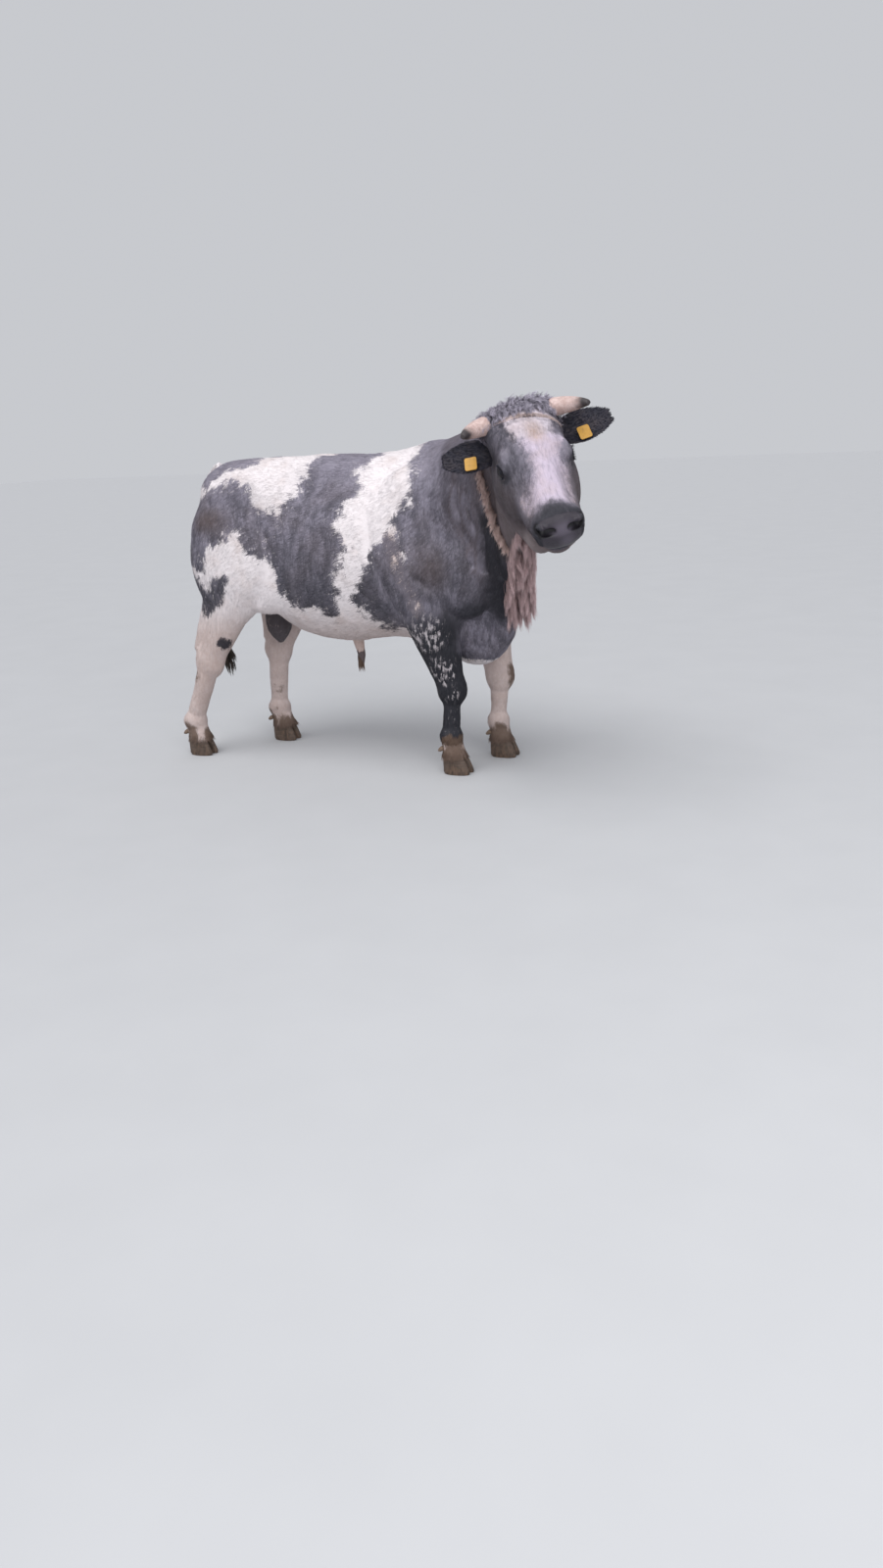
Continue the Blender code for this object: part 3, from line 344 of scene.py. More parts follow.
def depth_in_flesh(points, masses):
    """How far each point lies outside the flesh, below 0 inside it."""
    total = np.ones(len(points))
    for mass in masses:
        near = np.flatnonzero(length_of(points - mass["centre"]) < mass["reach"] + 0.22)
        away = away_from(mass, points[near])
        if mass.get("carve"):
            total[near] = -blended(-total[near], away, mass["blend"])
        else:
            total[near] = blended(total[near], away, mass["blend"])
    return total


# Where a point of the skin lies

def beside(points, route):
    """How far each point is from a line through the route's points, and how far along it, 0 to 1."""
    best = np.full(len(points), 9.0)
    share = np.zeros(len(points))
    route = np.array(route, float)
    steps = length_of(np.diff(route, axis=0))
    before = 0
    for start, end, step in zip(route, route[1:], steps):
        along = np.clip((points - start) @ (end - start) / step ** 2, 0, 1)
        away = length_of(points - start - along[:, None] * (end - start))
        closer = away < best
        best[closer] = away[closer]
        share[closer] = (before + along * step)[closer] / steps.sum()
        before += step
    return best, share


def off_line(points, route):
    return beside(points, route)[0]


def past_neck_cut(points):
    """How far ahead of the plane where the neck leaves the trunk each point lies."""
    return (points - (0.68, -0.14, 1.15)) @ unit(np.array((0.86, -0.42, 0.28)))


def regions(points):
    """Which part of the bull each point of the skin belongs to."""
    x, y, z = points.T
    wide = np.abs(y)
    part = np.full(len(points), "torso", dtype="U8")
    part[past_neck_cut(points) > 0] = "neck"
    cut = unit(HEAD_TURNED @ np.array((0.74, 0, 0.67)))
    base = np.array(HEAD @ Vector((-0.05, 0, -0.1)))
    part[(part == "neck") & ((points - base) @ cut > 0)] = "head"
    part[(x > 0.15) & (x < 0.9) & (z < 0.455 + (wide - 0.02) * 0.573) & (part == "torso")] = "foreleg"
    part[(x < -0.3) & (z < 0.585 + (wide - 0.012) * 0.379)] = "hindleg"
    near, share = beside(points, TAIL_ROUTE)
    part[(near < 0.036) & (share > 0.12) | (near < 0.05) & (x < -0.715)] = "tail"
    part[(np.hypot(x + 0.487, y - 0.005) < 0.082) & (z < 0.7) & (z > 0.3)] = "scrotum"
    part[(np.abs(x + 0.04) < 0.06) & (wide < 0.045) & (z < 0.565)] = "sheath"
    return part


def hand_lie(points, part):
    """The way that the coat lies, before it is laid flat on the skin."""
    x, y, z = points.T
    lie = np.tile((-1.0, 0.0, -0.35), (len(points), 1))
    lie[:, 2] -= ease(x, 0.2, 0.55) * 0.6 + ease(-x, 0.35, 0.65) * 1.1
    lie[z > 1.3] = (-1.0, 0.0, -0.1)
    leg = (ease(-z, -0.9, -0.64) * (np.abs(x) > 0.3))[:, None]
    lie = unit(lie) * (1 - leg) + np.array((-0.12, 0, -1)) * leg
    lie[part == "neck"] = (-0.45, 0.25, -0.85)
    lie[np.isin(part, LEGS + HAIRY_ENDS)] = (-0.12, 0, -1)
    head = part == "head"
    place = on_head(points[head])
    facing = np.stack([np.ones(len(place)), place[:, 1] * 2.5, np.full(len(place), -0.25)], 1)
    facing[place[:, 0] < 0.07] = (-0.4, 0, 1.0)
    lie[head] = facing @ HEAD_TURNED.T
    return lie


def in_square(share):
    """A share from 0 to 1 as a place across the UV square, a little off its edges."""
    return np.clip(share, 0, 1) * 0.98 + 0.01


def unwrap(points, part):
    """The skin laid out: each part rolled out round its own middle line, all in one square."""
    spread = np.zeros((len(points), 2))
    for name in np.unique(part):
        here = part == name
        p = points[here]
        if name == "torso":
            along, turn = (p[:, 0] + 1.0) / 2.0, np.arctan2(p[:, 1], p[:, 2] - 0.95)
        elif name == "head":
            q = on_head(p)
            along, turn = (q[:, 0] + 0.1) / 0.7, np.arctan2(q[:, 1], q[:, 2] + 0.13)
        elif name == "neck":
            axis = unit(np.array((0.47, -0.42, 0.22)))
            offset = p - (0.62, -0.12, 1.14)
            across = unit(np.cross(axis, (0, 0, 1)))
            along = (offset @ axis + 0.25) / 0.8
            turn = np.arctan2(offset @ across, offset @ np.cross(across, axis))
        else:
            feet = FORE_FEET if name == "foreleg" else HIND_FEET
            left = p[:, 1] > 0
            middle = np.where(left[:, None], feet["left"], feet["right"])
            turn = np.arctan2(p[:, 1] - middle[:, 1], p[:, 0] - middle[:, 0] * 0.8) / 2
            turn = turn + np.where(left, math.pi / 2, -math.pi / 2)
            along = p[:, 2] / 0.9
        spread[here, 0] = in_square(turn / math.tau + 0.5)
        spread[here, 1] = in_square(along)
    return spread


# Markings: the dark patches of each side as outlines of (x, height), where the height runs on
# over the back towards the spine, so that a patch can cross it

PATCHES = {
    "right": {
        "rump top": outline(-80, 160, -56, 158, -42, 149, -37, 142, -41, 137, -52, 136, -64, 133, -80, 136),
        "hip": outline(-82, 127, -62, 129, -51, 129, -41, 127, -35, 121, -26, 118, -17, 110, -22, 105, -30,
                       106, -34, 95, -39, 100, -43, 107, -53, 103, -60, 102, -66, 93, -80, 86),
        "mid flank": outline(-12, 162, -12, 143, -15, 131, -20, 121, -25, 112, -32, 101, -31, 92, -28, 84,
                             -23, 76, -13, 72, -3, 71, 3, 76, 6, 86, 8, 94, 13, 103, 4, 111, 12, 120, 14,
                             131, 13, 141, 18, 150, 16, 162),
        "thigh": outline(-84, 90, -68, 85, -53, 90, -55, 80, -63, 75, -70, 70, -84, 73),
        "elbow": outline(24, 103, 33, 109, 40, 95, 42, 75, 34, 63, 20, 64, 12, 71, 15, 80, 17, 89, 21, 95),
        "shoulder": outline(41, 162, 36, 149, 37, 138, 38, 120, 34, 114, 32, 108, 34, 100, 35, 85, 38, 70,
                            36, 50, 45, 30, 170, 30, 170, 210, 50, 210),
    },
    "left": {
        "rump top": outline(-80, 160, -50, 158, -40, 146, -48, 134, -58, 122, -70, 116, -82, 120),
        "thigh": outline(-84, 102, -66, 106, -55, 98, -48, 84, -56, 74, -70, 66, -84, 72),
        "mid flank": outline(-12, 162, -16, 144, -24, 133, -30, 120, -36, 112, -30, 102, -24, 90, -10, 80,
                             2, 74, 10, 84, 6, 98, 12, 110, 10, 124, 20, 136, 17, 148, 16, 162),
        "shoulder": outline(41, 162, 38, 146, 33, 134, 36, 120, 27, 110, 24, 96, 30, 84, 28, 70, 40, 62, 46,
                            40, 170, 30, 170, 210, 50, 210),
    },
}


def inside_outline(x, height, outline):
    """How far each point lies inside the outline, in metres, below 0 outside it."""
    best = np.full(len(x), 9.0)
    inside = np.zeros(len(x), bool)
    for (x0, h0), (x1, h1) in zip(outline, outline[1:] + outline[:1]):
        step_x, step_h = x1 - x0, h1 - h0
        share = np.clip(((x - x0) * step_x + (height - h0) * step_h) / (step_x ** 2 + step_h ** 2), 0, 1)
        best = np.minimum(best, np.hypot(x - x0 - share * step_x, height - h0 - share * step_h))
        crosses = (h0 > height) != (h1 > height)
        with np.errstate(divide="ignore", invalid="ignore"):
            inside ^= crosses & (x < x0 + (height - h0) * step_x / (h1 - h0 + 1e-12))
    return np.where(inside, best, -best)


def spot(points, centre, radius, soft=1.0):
    """1 at the centre, 0 past the radius (one number, or one each way)."""
    return fade(length_of((points - np.array(centre)) / np.array(radius)), 1 - soft, 1)


# Mud and brown tinges on the body: place, radius and strength; pale specks on the dark forearm
MUDDY = [((-0.8, -0.24, 0.4), (0.05, 0.06, 0.06), 0.7), ((0.665, 0.165, 0.39), (0.06, 0.07, 0.1), 1.0),
         ((-0.6, 0.12, 0.27), (0.05, 0.05, 0.08), 0.5)]
BROWNED = [((-0.62, -0.32, 1.14), (0.2, 0.12, 0.1), 1.0), ((0.5, -0.32, 0.92), (0.14, 0.12, 0.16), 0.75)]
SPECKLED = [((0.44, -0.27, 0.66), 0.14), ((0.5, -0.24, 0.48), 0.1), ((0.52, -0.2, 0.37), 0.055)]
# Lines on the body: the light band behind the shoulder, the fold beside the dewlap, painted black as shade,
# the white streak down the chest, the edge of the throat, and the thin painted highlight in that fold
SHOULDER_BAND = cm(33, -33, 104, 37, -33, 90, 43, -30, 75)
SHADED_FOLD = cm(80, -38, 110, 80, -27, 90, 74, -17, 74)
CHEST_STREAK = mm(775, -45, 760, 755, 0, 660, 700, 60, 530)
THROAT_EDGE = cm(80, -44, 131, 84, -41, 111, 87, -40, 103, 93, -34, 98)
FOLD_HIGHLIGHT = mm(835, -385, 1030, 830, -300, 900, 800, -240, 800)


def body_patches(points):
    """How far inside a dark patch of its own side each point lies."""
    x, y, z = points.T
    warp = lumps(points, 0.11, 1) * 0.028 + lumps(points, 0.045, 2) * 0.016
    lift = lumps(points, 0.13, 3) * 0.03 + lumps(points, 0.05, 4) * 0.018
    height = z + 0.6 * np.maximum(0, 0.28 - np.abs(y)) * ease(z, 1.0, 1.2) + lift
    right, left = (above(np.full(len(points), -1.0), *(inside_outline(x + warp, height, outline)
                                                       for outline in PATCHES[side].values()))
                   for side in ("right", "left"))
    share = ease(y, -0.04, 0.04)
    return right * (1 - share) + left * share


def markings(points, part):
    """For each point: how far inside a dark patch it lies, how black, warm, dirty and bare it is, and
    how soft its patch's edge, how dark its hollows are with painted shade and its lids with their own dark
    skin, and how pale its roan is. Black, warm and pale carry painted shade and light as well, marked below."""
    x, y, z = points.T
    torso, hind, on_neck, head = (part == name for name in ("torso", "hindleg", "neck", "head"))
    mark = body_patches(points)
    black, warm, dirt, bare, hollow_shade_and_lids = (np.zeros(len(points)) for _ in range(5))
    right = y < 0

    rough = lumps(points, 0.07, 12) * 0.05
    arm = ((part == "foreleg") | (torso & (x > 0.3) & (z < 0.95))) & right
    black[arm] = ease(-z[arm] + rough[arm] + (x[arm] - 0.5) * 0.3, -0.84, -0.64)
    mark[arm] = np.maximum(mark[arm], 0.06)
    mark[arm] = np.where(z[arm] + rough[arm] * 0.7 < 0.15, -0.04, mark[arm])
    warm[arm] = ease(-z[arm], -0.17, -0.12)
    cream = (part == "foreleg") & ~right
    mark[cream] = 0.02 - ease(-z[cream], -0.66, -0.54) * 0.12 + (y[cream] - 0.19) * 0.5
    patch = spot(points[hind], (-0.63, -0.26, 0.56), (0.07, 0.08, 0.055))
    mark[hind] = np.maximum(np.minimum(mark[hind], -0.03 - ease(-z[hind], -0.7, -0.62) * 0.1),
                            patch * 0.12 - 0.05)
    low = ease(-z + rough * 1.2 + lumps(points, 0.025, 13) * 0.035, -0.21, -0.09)
    dirt = above(dirt, low * np.isin(part, LEGS),
                 *(strength * spot(points, centre, radius) for centre, radius, strength in MUDDY))
    # Cream on the belly, and growing downwards on the haunches, hind legs and left foreleg: the hair's own
    # cream, which CREAM_HAIR also darkens as painted shade on the low legs.
    belly = ease(-z, -0.78, -0.56) * ease(-x, -0.45, -0.3)
    haunch = hind | (torso & (x < -0.3))
    warm = above(warm, *(strength * spot(points, centre, radius) for centre, radius, strength in BROWNED),
                 belly * 0.75, 0.85 * (cream | haunch) * ease(-z, -0.8, -0.58))
    belly = belly * torso * ease(-z, -0.7, -0.56)
    # Painted shade: the two terms that grow downwards make the trunk's dark patches blacker towards its lower
    # part.
    black = above(black, hind * (mark > 0) * 0.8, 0.55 * ease(-z, -1.1, -0.8) * torso * (x < 0.25),
                  0.25 * ease(-z, -1.15, -0.85) * torso)
    mark = np.where(belly > 0, mark - belly * 0.06, mark)

    band = fade(off_line(points, SHOULDER_BAND) + lumps(points * (1, 1, 0.3), 0.02, 14) * 0.014, 0.012, 0.045)
    mark = np.where(band > 0, np.minimum(mark, 0.08 - band * 0.062), mark)
    warm = above(warm, band * 0.8)
    chest = spot(points, (0.66, -0.08, 0.6), (0.18, 0.21, 0.2), 0.7)
    black = np.where(torso, np.minimum(black, 1 - chest) - chest, black)
    # Painted shade: the fold beside the dewlap is painted black.
    off_shaded_fold = off_line(points, SHADED_FOLD)
    black = above(black, 0.9 * fade(off_shaded_fold, 0.03, 0.1))
    keel = ease(-z + rough * 0.3, -0.535, -0.495) * (torso & (x > 0.3))
    mark = mark * (1 - keel) - 0.04 * keel
    streak = fade(off_line(points, CHEST_STREAK) + rough * 0.5, 0.02, 0.065) * (part != "neck")
    mark = np.where(streak > 0, np.minimum(mark, 0.07 - streak * 0.15), mark)
    ahead = ease(past_neck_cut(points), -0.1, 0.1)
    # Painted light: the roan paler towards the top of the trunk, less so ahead of the neck's cut. The band's
    # pale hair and the forearm's pale specks are their own colour.
    pale = above(band * 0.8, (0.75 - 0.45 * ahead) * ease(z, 1.12, 1.4),
                 *(0.8 * spot(points, centre, radius, 0.8) * arm for centre, radius in SPECKLED))
    tail = part == "tail"
    mark[tail] = -0.05 + ease(-z[tail], -0.72, -0.6) * 0.1
    bag = part == "scrotum"
    mark[bag], black[bag], warm[bag], bare[bag] = 0.06, 0.55, 0.9, 0.0
    purse = part == "sheath"
    mark[purse] = -0.06 + ease(-z[purse], -0.53, -0.47) * 0.12
    warm[purse], bare[purse] = 1.0, 0.1

    warm = above(warm, 0.3 * ahead)
    warm[on_neck] = above(warm[on_neck], 0.9 - ease(off_line(points[on_neck], THROAT_EDGE), 0.02, 0.12))
    mark[on_neck] = 0.08
    # Painted highlight: pale, warm streaks along the ridges beside the neck's folds.
    for route, _, _ in NECK_LINES[:4]:
        near = off_line(neck_warped(points), route)
        pale = above(pale, 0.85 * bell(near, 0.021, 0.008) * on_neck)
        warm = above(warm, 0.6 * bell(near, 0.03, 0.01) * on_neck)
    # Painted shade in the fold by the dewlap takes the neck's pale streaks out of it.
    pale = pale * (1 - 0.85 * fade(off_shaded_fold, 0.04, 0.11) * on_neck)
    # Painted highlight: a thin pale line along the shaded fold, with less black under it.
    fold_highlight = fade(off_line(points, FOLD_HIGHLIGHT), 0.004, 0.011)
    pale = above(pale, fold_highlight * on_neck)
    black = black * (1 - 0.8 * fold_highlight * on_neck)
    soft = np.full(len(points), 0.12)
    (mark[head], black[head], warm[head], bare[head], soft[head], hollow_shade_and_lids[head],
     pale[head]) = face_markings(points[head])
    tone = np.clip(np.stack([black, warm, dirt, bare], 1), (-1, 0, 0, 0), 1)
    return mark, tone, np.stack([soft, hollow_shade_and_lids, np.clip(pale, 0, 1)], 1)


# On the head: the blaze's outline, and the routes of the fold over the brow, a nostril and the mouth

BLAZE = rows_of(2, 1000, (0, -40, 78, -56, 105, -64, 139, -48, 165, -24, 199, -22, 244, -14, 283, -18, 328,
                          -42, 366, -62, 410, -58, 429, -20, 432, 32, 408, 64, 343, 70, 286, 77, 238, 83,
                          187, 88, 136, 70, 99, 78, 0, 70))
FOLD = mm(50, -125, -55, 56, -93, -33, 71, -59, -10, 80, -6, 1, 90, 50, -6, 98, 85, -18, 115, 118, -60)
NOSTRIL = mm(519, 32, -56, 499, 57, -68, 487, 72, -58)
NOSTRIL_CUP = mm(530, 33, -53, 508, 62, -72, 490, 78, -56)
MOUTH = mm(540, 0, -142, 510, 45, -140, 430, 78, -137)


def face_markings(points):
    """What markings() gives, for points of the head."""
    place = on_head(points)
    x, y, z = place.T
    warp = lumps(points, 0.03, 5) * 0.01 + lumps(points, 0.014, 6) * 0.006
    front = ease(z, -0.16, -0.07)
    blaze = inside_outline(x + warp, y + warp * 0.7, BLAZE) - (1 - front) * 0.12
    temple = spot(place, (0.185, -0.1, -0.025), (0.055, 0.03, 0.045), 0.9)
    cheek_light = spot(place, (0.37, -0.088, -0.11), (0.1, 0.03, 0.07), 0.9)
    mark = -blaze * 1.2 - spot(place, (0.225, 0.102, -0.03), (0.07, 0.014, 0.03), 0.8) * 0.06
    mark = mark - temple * 0.055 - cheek_light * 0.045
    pale = above(temple, cheek_light, spot(place, (0.215, 0.098, -0.03), (0.09, 0.035, 0.06), 0.5),
                 0.8 * ease(x, 0.28, 0.42) * ease(-z, 0.03, -0.02))
    black = above(0.1 + 0.25 * ease(-y, 0.02, 0.09),
                  0.65 * spot(place, (0.15, -0.062, -0.01), (0.04, 0.03, 0.05)),
                  0.7 * spot(place, (0.13, -0.13, -0.09), (0.09, 0.04, 0.08)))
    folded = place * (1, 1, 1)
    folded[:, 1] = np.abs(y)
    # Painted shade along the mouth's line and in the nostrils' cups.
    hollow_shade_and_lids = 0.85 * fade(off_line(folded, MOUTH), 0.0025, 0.0065)
    hollow_shade_and_lids = above(hollow_shade_and_lids, 0.85 * fade(off_line(folded, NOSTRIL_CUP), 0.0135, 0.0185))
    bare = ease(x + 0.25 * np.minimum(z + 0.1, 0), 0.474, 0.49) * ease(z, -0.145, -0.135)
    bare = bare * fade(np.abs(y), 0.058, 0.076)
    for side in SIDES.values():
        eye = eye_place(side)
        near = spot(place, eye, (0.078, 0.06, 0.06), 0.75)
        black = above(black, near)
        mark = np.where(near > 0.1, np.maximum(mark, 0.02), mark)
        bare = above(bare, spot(place, eye, (0.036, 0.036, 0.03), 0.25))
        # Round the eye: the lids' own dark skin, through the same channel as the painted shade.
        hollow_shade_and_lids = above(hollow_shade_and_lids, 0.8 * spot(place, eye, (0.036, 0.036, 0.03), 0.35))
    muzzle = ease(x - 6.2 * y * y + warp * 0.8, 0.385, 0.46)
    mark = above(mark, muzzle * 0.11 - 0.05)
    black = above(black, muzzle * 0.91)
    under = ease(-z, 0.15, 0.25)
    cheek = ease(-z, 0.02, 0.13) * ease(x, 0.06, 0.26)
    chin = ease(-z, 0.166, 0.184) * ease(x, 0.37, 0.42)
    black = black * (1 - chin) - chin * 0.5 - 0.55 * under * (1 - muzzle)
    mark = np.where(chin > 0.3, 0.05, mark)
    band = fade(off_line(place + (0.01, 0, 0), FOLD), 0.006, 0.012)
    warm = above(above(under, cheek) * (1 - muzzle) * 0.85,
                 spot(place, (0.15, 0.02, 0), (0.075, 0.05, 0.05), 0.9), chin, band)
    mark = mark * (1 - band) - 0.012 * band
    # Painted shade: a thin dark line in the groove of the fold over the brow.
    mark = above(mark, 0.1 * fade(off_line(place, FOLD), 0.0015, 0.0045) - 0.04)
    # Painted highlight: a paler plane on top of the muzzle, between the nostrils.
    muzzle_highlight = above(spot(place, (0.515, 0.004, -0.058), (0.06, 0.056, 0.034), 0.8),
                  0.7 * spot(place, (0.535, 0.014, -0.095), (0.06, 0.04, 0.045), 0.9))
    pale = pale * (1 - muzzle) + muzzle_highlight
    soft = 1 - np.maximum(0.6 * ease(-z, 0.1, 0.18), 0.55 * ease(-x, -0.26, -0.14))
    return mark, black, warm, bare, soft, hollow_shade_and_lids, pale


# Lines and folds of the skin: their route, width and how far they stand out, below 0 for a groove

BODY_LINES = [
    (cm(20, -33, 116, 22, -34, 100, 26, -33, 86, 32, -28, 74), 0.03, -0.01),
    (cm(52, -28, 122, 50, -33, 106, 50, -33, 94), 0.04, 0.008),
    (cm(60, -32, 98, 64, -33, 86, 58, -28, 76), 0.035, 0.01),
    (cm(44, -33, 88, 54, -33, 80, 60, -28, 72), 0.02, -0.01),
    (cm(42, -31, 80, 46, -26, 68, 49, -23, 56), 0.022, -0.008),
    (cm(-40, -31, 74, -34, -30, 86, -30, -28, 98), 0.035, -0.01),
    (cm(-45, -30, 70, -38, -27, 66, -28, -22, 62), 0.025, 0.01),
    (cm(-62, -30, 120, -66, -30, 100, -66, -28, 82), 0.026, -0.009),
    (cm(-42, -28, 126, -36, -26, 114, -34, -28, 102), 0.045, -0.01),
    (cm(-18, -20, 131, 6, -22, 131, 24, -24, 130), 0.04, -0.008),
    (cm(66, -10, 50, 60, -13, 58, 60, -17, 68), 0.018, -0.01),
]
NECK_LINES = [
    (cm(78, -36, 138, 76, -36, 122, 75, -33, 106, 73, -28, 92), 0.016, -0.012),
    (cm(73, -34, 136, 70, -36, 120, 69, -34, 105, 68, -30, 95), 0.015, -0.01),
    (cm(67, -33, 132, 64, -34, 118, 63, -33, 104), 0.018, -0.009),
    (cm(82, -40, 128, 80, -38, 114, 80, -34, 100, 78, -28, 88), 0.014, -0.012),
    (cm(72, -24, 82, 69, -16, 72, 66, -12, 62), 0.02, -0.01),
]
FACE_LINES = [
    (NOSTRIL, 0.01, -0.0125),
    (mm(420, 0, -215, 500, 0, -195), 0.045, -0.005),
    (mm(530, 36, -38, 505, 68, -40, 486, 88, -56, 490, 90, -86), 0.007, 0.002),
    (mm(190, 105, -35, 225, 115, -30, 262, 112, -45), 0.008, 0.0045),
    (mm(190, 120, -52, 205, 127, -45, 235, 128, -43, 262, 118, -58), 0.0035, -0.003),
    (mm(200, 118, -108, 225, 118, -112, 262, 108, -98), 0.006, -0.003),
    (mm(280, 100, -110, 330, 88, -125, 390, 80, -130), 0.01, -0.004),
    (mm(240, 98, -150, 280, 95, -200, 260, 90, -270), 0.018, -0.005),
    (mm(300, 45, -20, 380, 42, -25, 440, 50, -30), 0.012, 0.003),
    (mm(500, 80, -75, 485, 90, -100, 455, 92, -120), 0.006, -0.0035),
    (mm(520, 22, -58, 530, 18, -85, 535, 0, -125), 0.005, -0.002),
    (mm(430, 85, -105, 410, 80, -125, 400, 70, -150), 0.005, -0.003),
    (mm(455, 82, -95, 440, 80, -120, 430, 72, -150), 0.004, -0.0025),
]


def neck_warped(points):
    """The points moved a little, so that the neck's lines waver."""
    return points + lumps(points, 0.08, 10)[:, None] * 0.012


def relief(points, part):
    """How far folds, muscles and wrinkles move the skin out."""
    out = lumps(points, 0.09, 8) * 0.0025 + lumps(points, 0.035, 9) * 0.001
    out[part == "head"] *= 0.3
    places = (points, points * (1, -1, 1))
    folds = [(place, 1.35, *line) for line in BODY_LINES for place in places]
    folds += [(neck_warped(points), 1.3, *line) for line in NECK_LINES]
    for place, strength, route, width, rise in folds:
        out += strength * rise * bell(off_line(place, route), 0, width) * (part != "head")
    head = np.flatnonzero(part == "head")
    place = on_head(points[head])
    near = off_line(place, FOLD)
    place[:, 1] = np.abs(place[:, 1])
    for route, width, rise in FACE_LINES:
        out[head] += rise * bell(off_line(place, route), 0, width)
    out[head] += 0.003 * bell(near, 0.009, 0.005) - 0.0035 * bell(near, 0, 0.0035)
    out[head] += np.sin(place[:, 0] * 420) * 0.0012 * spot(place, (0.42, 0.075, -0.11), (0.05, 0.03, 0.05))
    return out


def coat_depth(points, part):
    """How far the skin lies inside the solids."""
    depth = np.full(len(points), BODY_DEPTH)
    leg = np.isin(part, LEGS)
    depth[leg] = BODY_DEPTH - LEG_RISE * ease(-points[leg, 2], -0.5, -0.38)
    head = part == "head"
    depth[head] = HEAD_DEPTH * fade(on_head(points[head])[:, 0], 0.36, 0.44)
    return depth


# Meshes from arrays

def numbers_of(rows, field, wide=3, kind=float):
    """One field of many vertices, loops or triangles, as an array."""
    values = np.empty(len(rows) * wide, dtype=kind)
    rows.foreach_get(field, values)
    return values.reshape(-1, wide)


def vertex_places(mesh):
    return numbers_of(mesh.vertices, "co")


def vertex_normals(mesh):
    return numbers_of(mesh.vertex_normals, "vector")


def move_vertices(mesh, places):
    mesh.vertices.foreach_set("co", places.ravel())
    mesh.update()


def mesh_object(name, places, faces):
    """One object from an array of places and arrays of faces, each array of one number of corners."""
    mesh = bpy.data.meshes.new(name)
    corners = np.concatenate([group.ravel() for group in faces]).astype(np.int32)
    sizes = np.concatenate([np.full(len(group), group.shape[1]) for group in faces])
    starts = np.concatenate([[0], np.cumsum(sizes)[:-1]]).astype(np.int32)
    mesh.vertices.add(len(places))
    mesh.vertices.foreach_set("co", places.ravel())
    mesh.loops.add(len(corners))
    mesh.loops.foreach_set("vertex_index", corners)
    mesh.polygons.add(len(sizes))
    mesh.polygons.foreach_set("loop_start", starts)
    mesh.update(calc_edges=True)
    mesh.validate()
    mesh.shade_smooth()
    made = bpy.data.objects.new(name, mesh)
    bpy.context.scene.collection.objects.link(made)
    return made


def write_values(mesh, name, values):
    """A number, vector or colour for each vertex, under that name."""
    kind, field = {1: ("FLOAT", "value"), 3: ("FLOAT_VECTOR", "vector"),
                   4: ("FLOAT_COLOR", "color")}[1 if values.ndim == 1 else values.shape[1]]
    layer = mesh.attributes.new(name, kind, "POINT")
    layer.data.foreach_set(field, np.ascontiguousarray(values, dtype=np.float32).ravel())


def only(made):
    """Selects one object, in object mode, and nothing else."""
    bpy.ops.object.select_all(action="DESELECT")
    made.select_set(True)
    bpy.context.view_layer.objects.active = made


def apply_modifiers(made):
    only(made)
    for modifier in list(made.modifiers):
        bpy.ops.object.modifier_apply(modifier=modifier.name)


def loft(name, rings):
    """A closed solid through rings of points on the bull, an array of levels x steps x 3."""
    levels, steps, _ = rings.shape
    quads = [(level * steps + step, level * steps + (step + 1) % steps,
              (level + 1) * steps + (step + 1) % steps, (level + 1) * steps + step)
             for level in range(levels - 1) for step in range(steps)]
    last = (levels - 1) * steps
    caps = [list(range(steps))[::-1], list(range(last, last + steps))]
    return mesh_object(name, placed_on_bull(rings.reshape(-1, 3)), [np.array(quads), np.array(caps)])


def rounded(made):
    """Rounds the facets by two levels of subdivision."""
    soft = made.modifiers.new("soft", "SUBSURF")
    soft.levels = soft.render_levels = 2
    apply_modifiers(made)
    made.data.shade_smooth()
    return made


def copied(name, *names):
    """The named solids as one new object, their doubles merged."""
    copies = []
    for source in names:
        made = nodes[source].copy()
        made.data = nodes[source].data.copy()
        made.parent = None
        bpy.context.scene.collection.objects.link(made)
        copies.append(made)
    only(copies[0])
    for made in copies:
        made.select_set(True)
    if len(copies) > 1:
        bpy.ops.object.join()
    made = bpy.context.view_layer.objects.active
    made.name = made.data.name = name
    for key in list(made.keys()):
        del made[key]
    mesh = bmesh.new()
    mesh.from_mesh(made.data)
    bmesh.ops.remove_doubles(mesh, verts=mesh.verts, dist=0.00001)
    mesh.to_mesh(made.data)
    mesh.free()
    made.data.materials.clear()
    for layer in list(made.data.attributes):
        if layer.name in ("sharp_edge", "sharp_face", "custom_normal"):
            made.data.attributes.remove(layer)
    return made


def dressed(made, finish, *replaced):
    """Gives the piece its finish, and lets it stand for the named solids."""
    made.data.materials.clear()
    made.data.materials.append(finish)
    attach(made, "root")
    if replaced:
        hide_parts(*replaced)
    return made


# Finishes

class Value:
    """A socket's value in a finish. Arithmetic on it adds Math nodes."""

    def __init__(self, finish, socket):
        self.finish = finish
        self.socket = socket

    def maths(self, operation, *values):
        return self.finish.node("ShaderNodeMath", {"operation": operation}, values)

    def __add__(self, other):
        return self.maths("ADD", self, other)

    def __sub__(self, other):
        return self.maths("SUBTRACT", self, other)

    def __rsub__(self, other):
        return self.maths("SUBTRACT", other, self)

    def __mul__(self, other):
        return self.maths("MULTIPLY", self, other)

    __radd__ = __add__
    __rmul__ = __mul__

    def between(self, low, high):
        """0 below low, 1 above high, soft in between."""
        return self.finish.node("ShaderNodeMapRange", {"interpolation_type": "SMOOTHSTEP"},
                                (self, low, high, 0.0, 1.0))


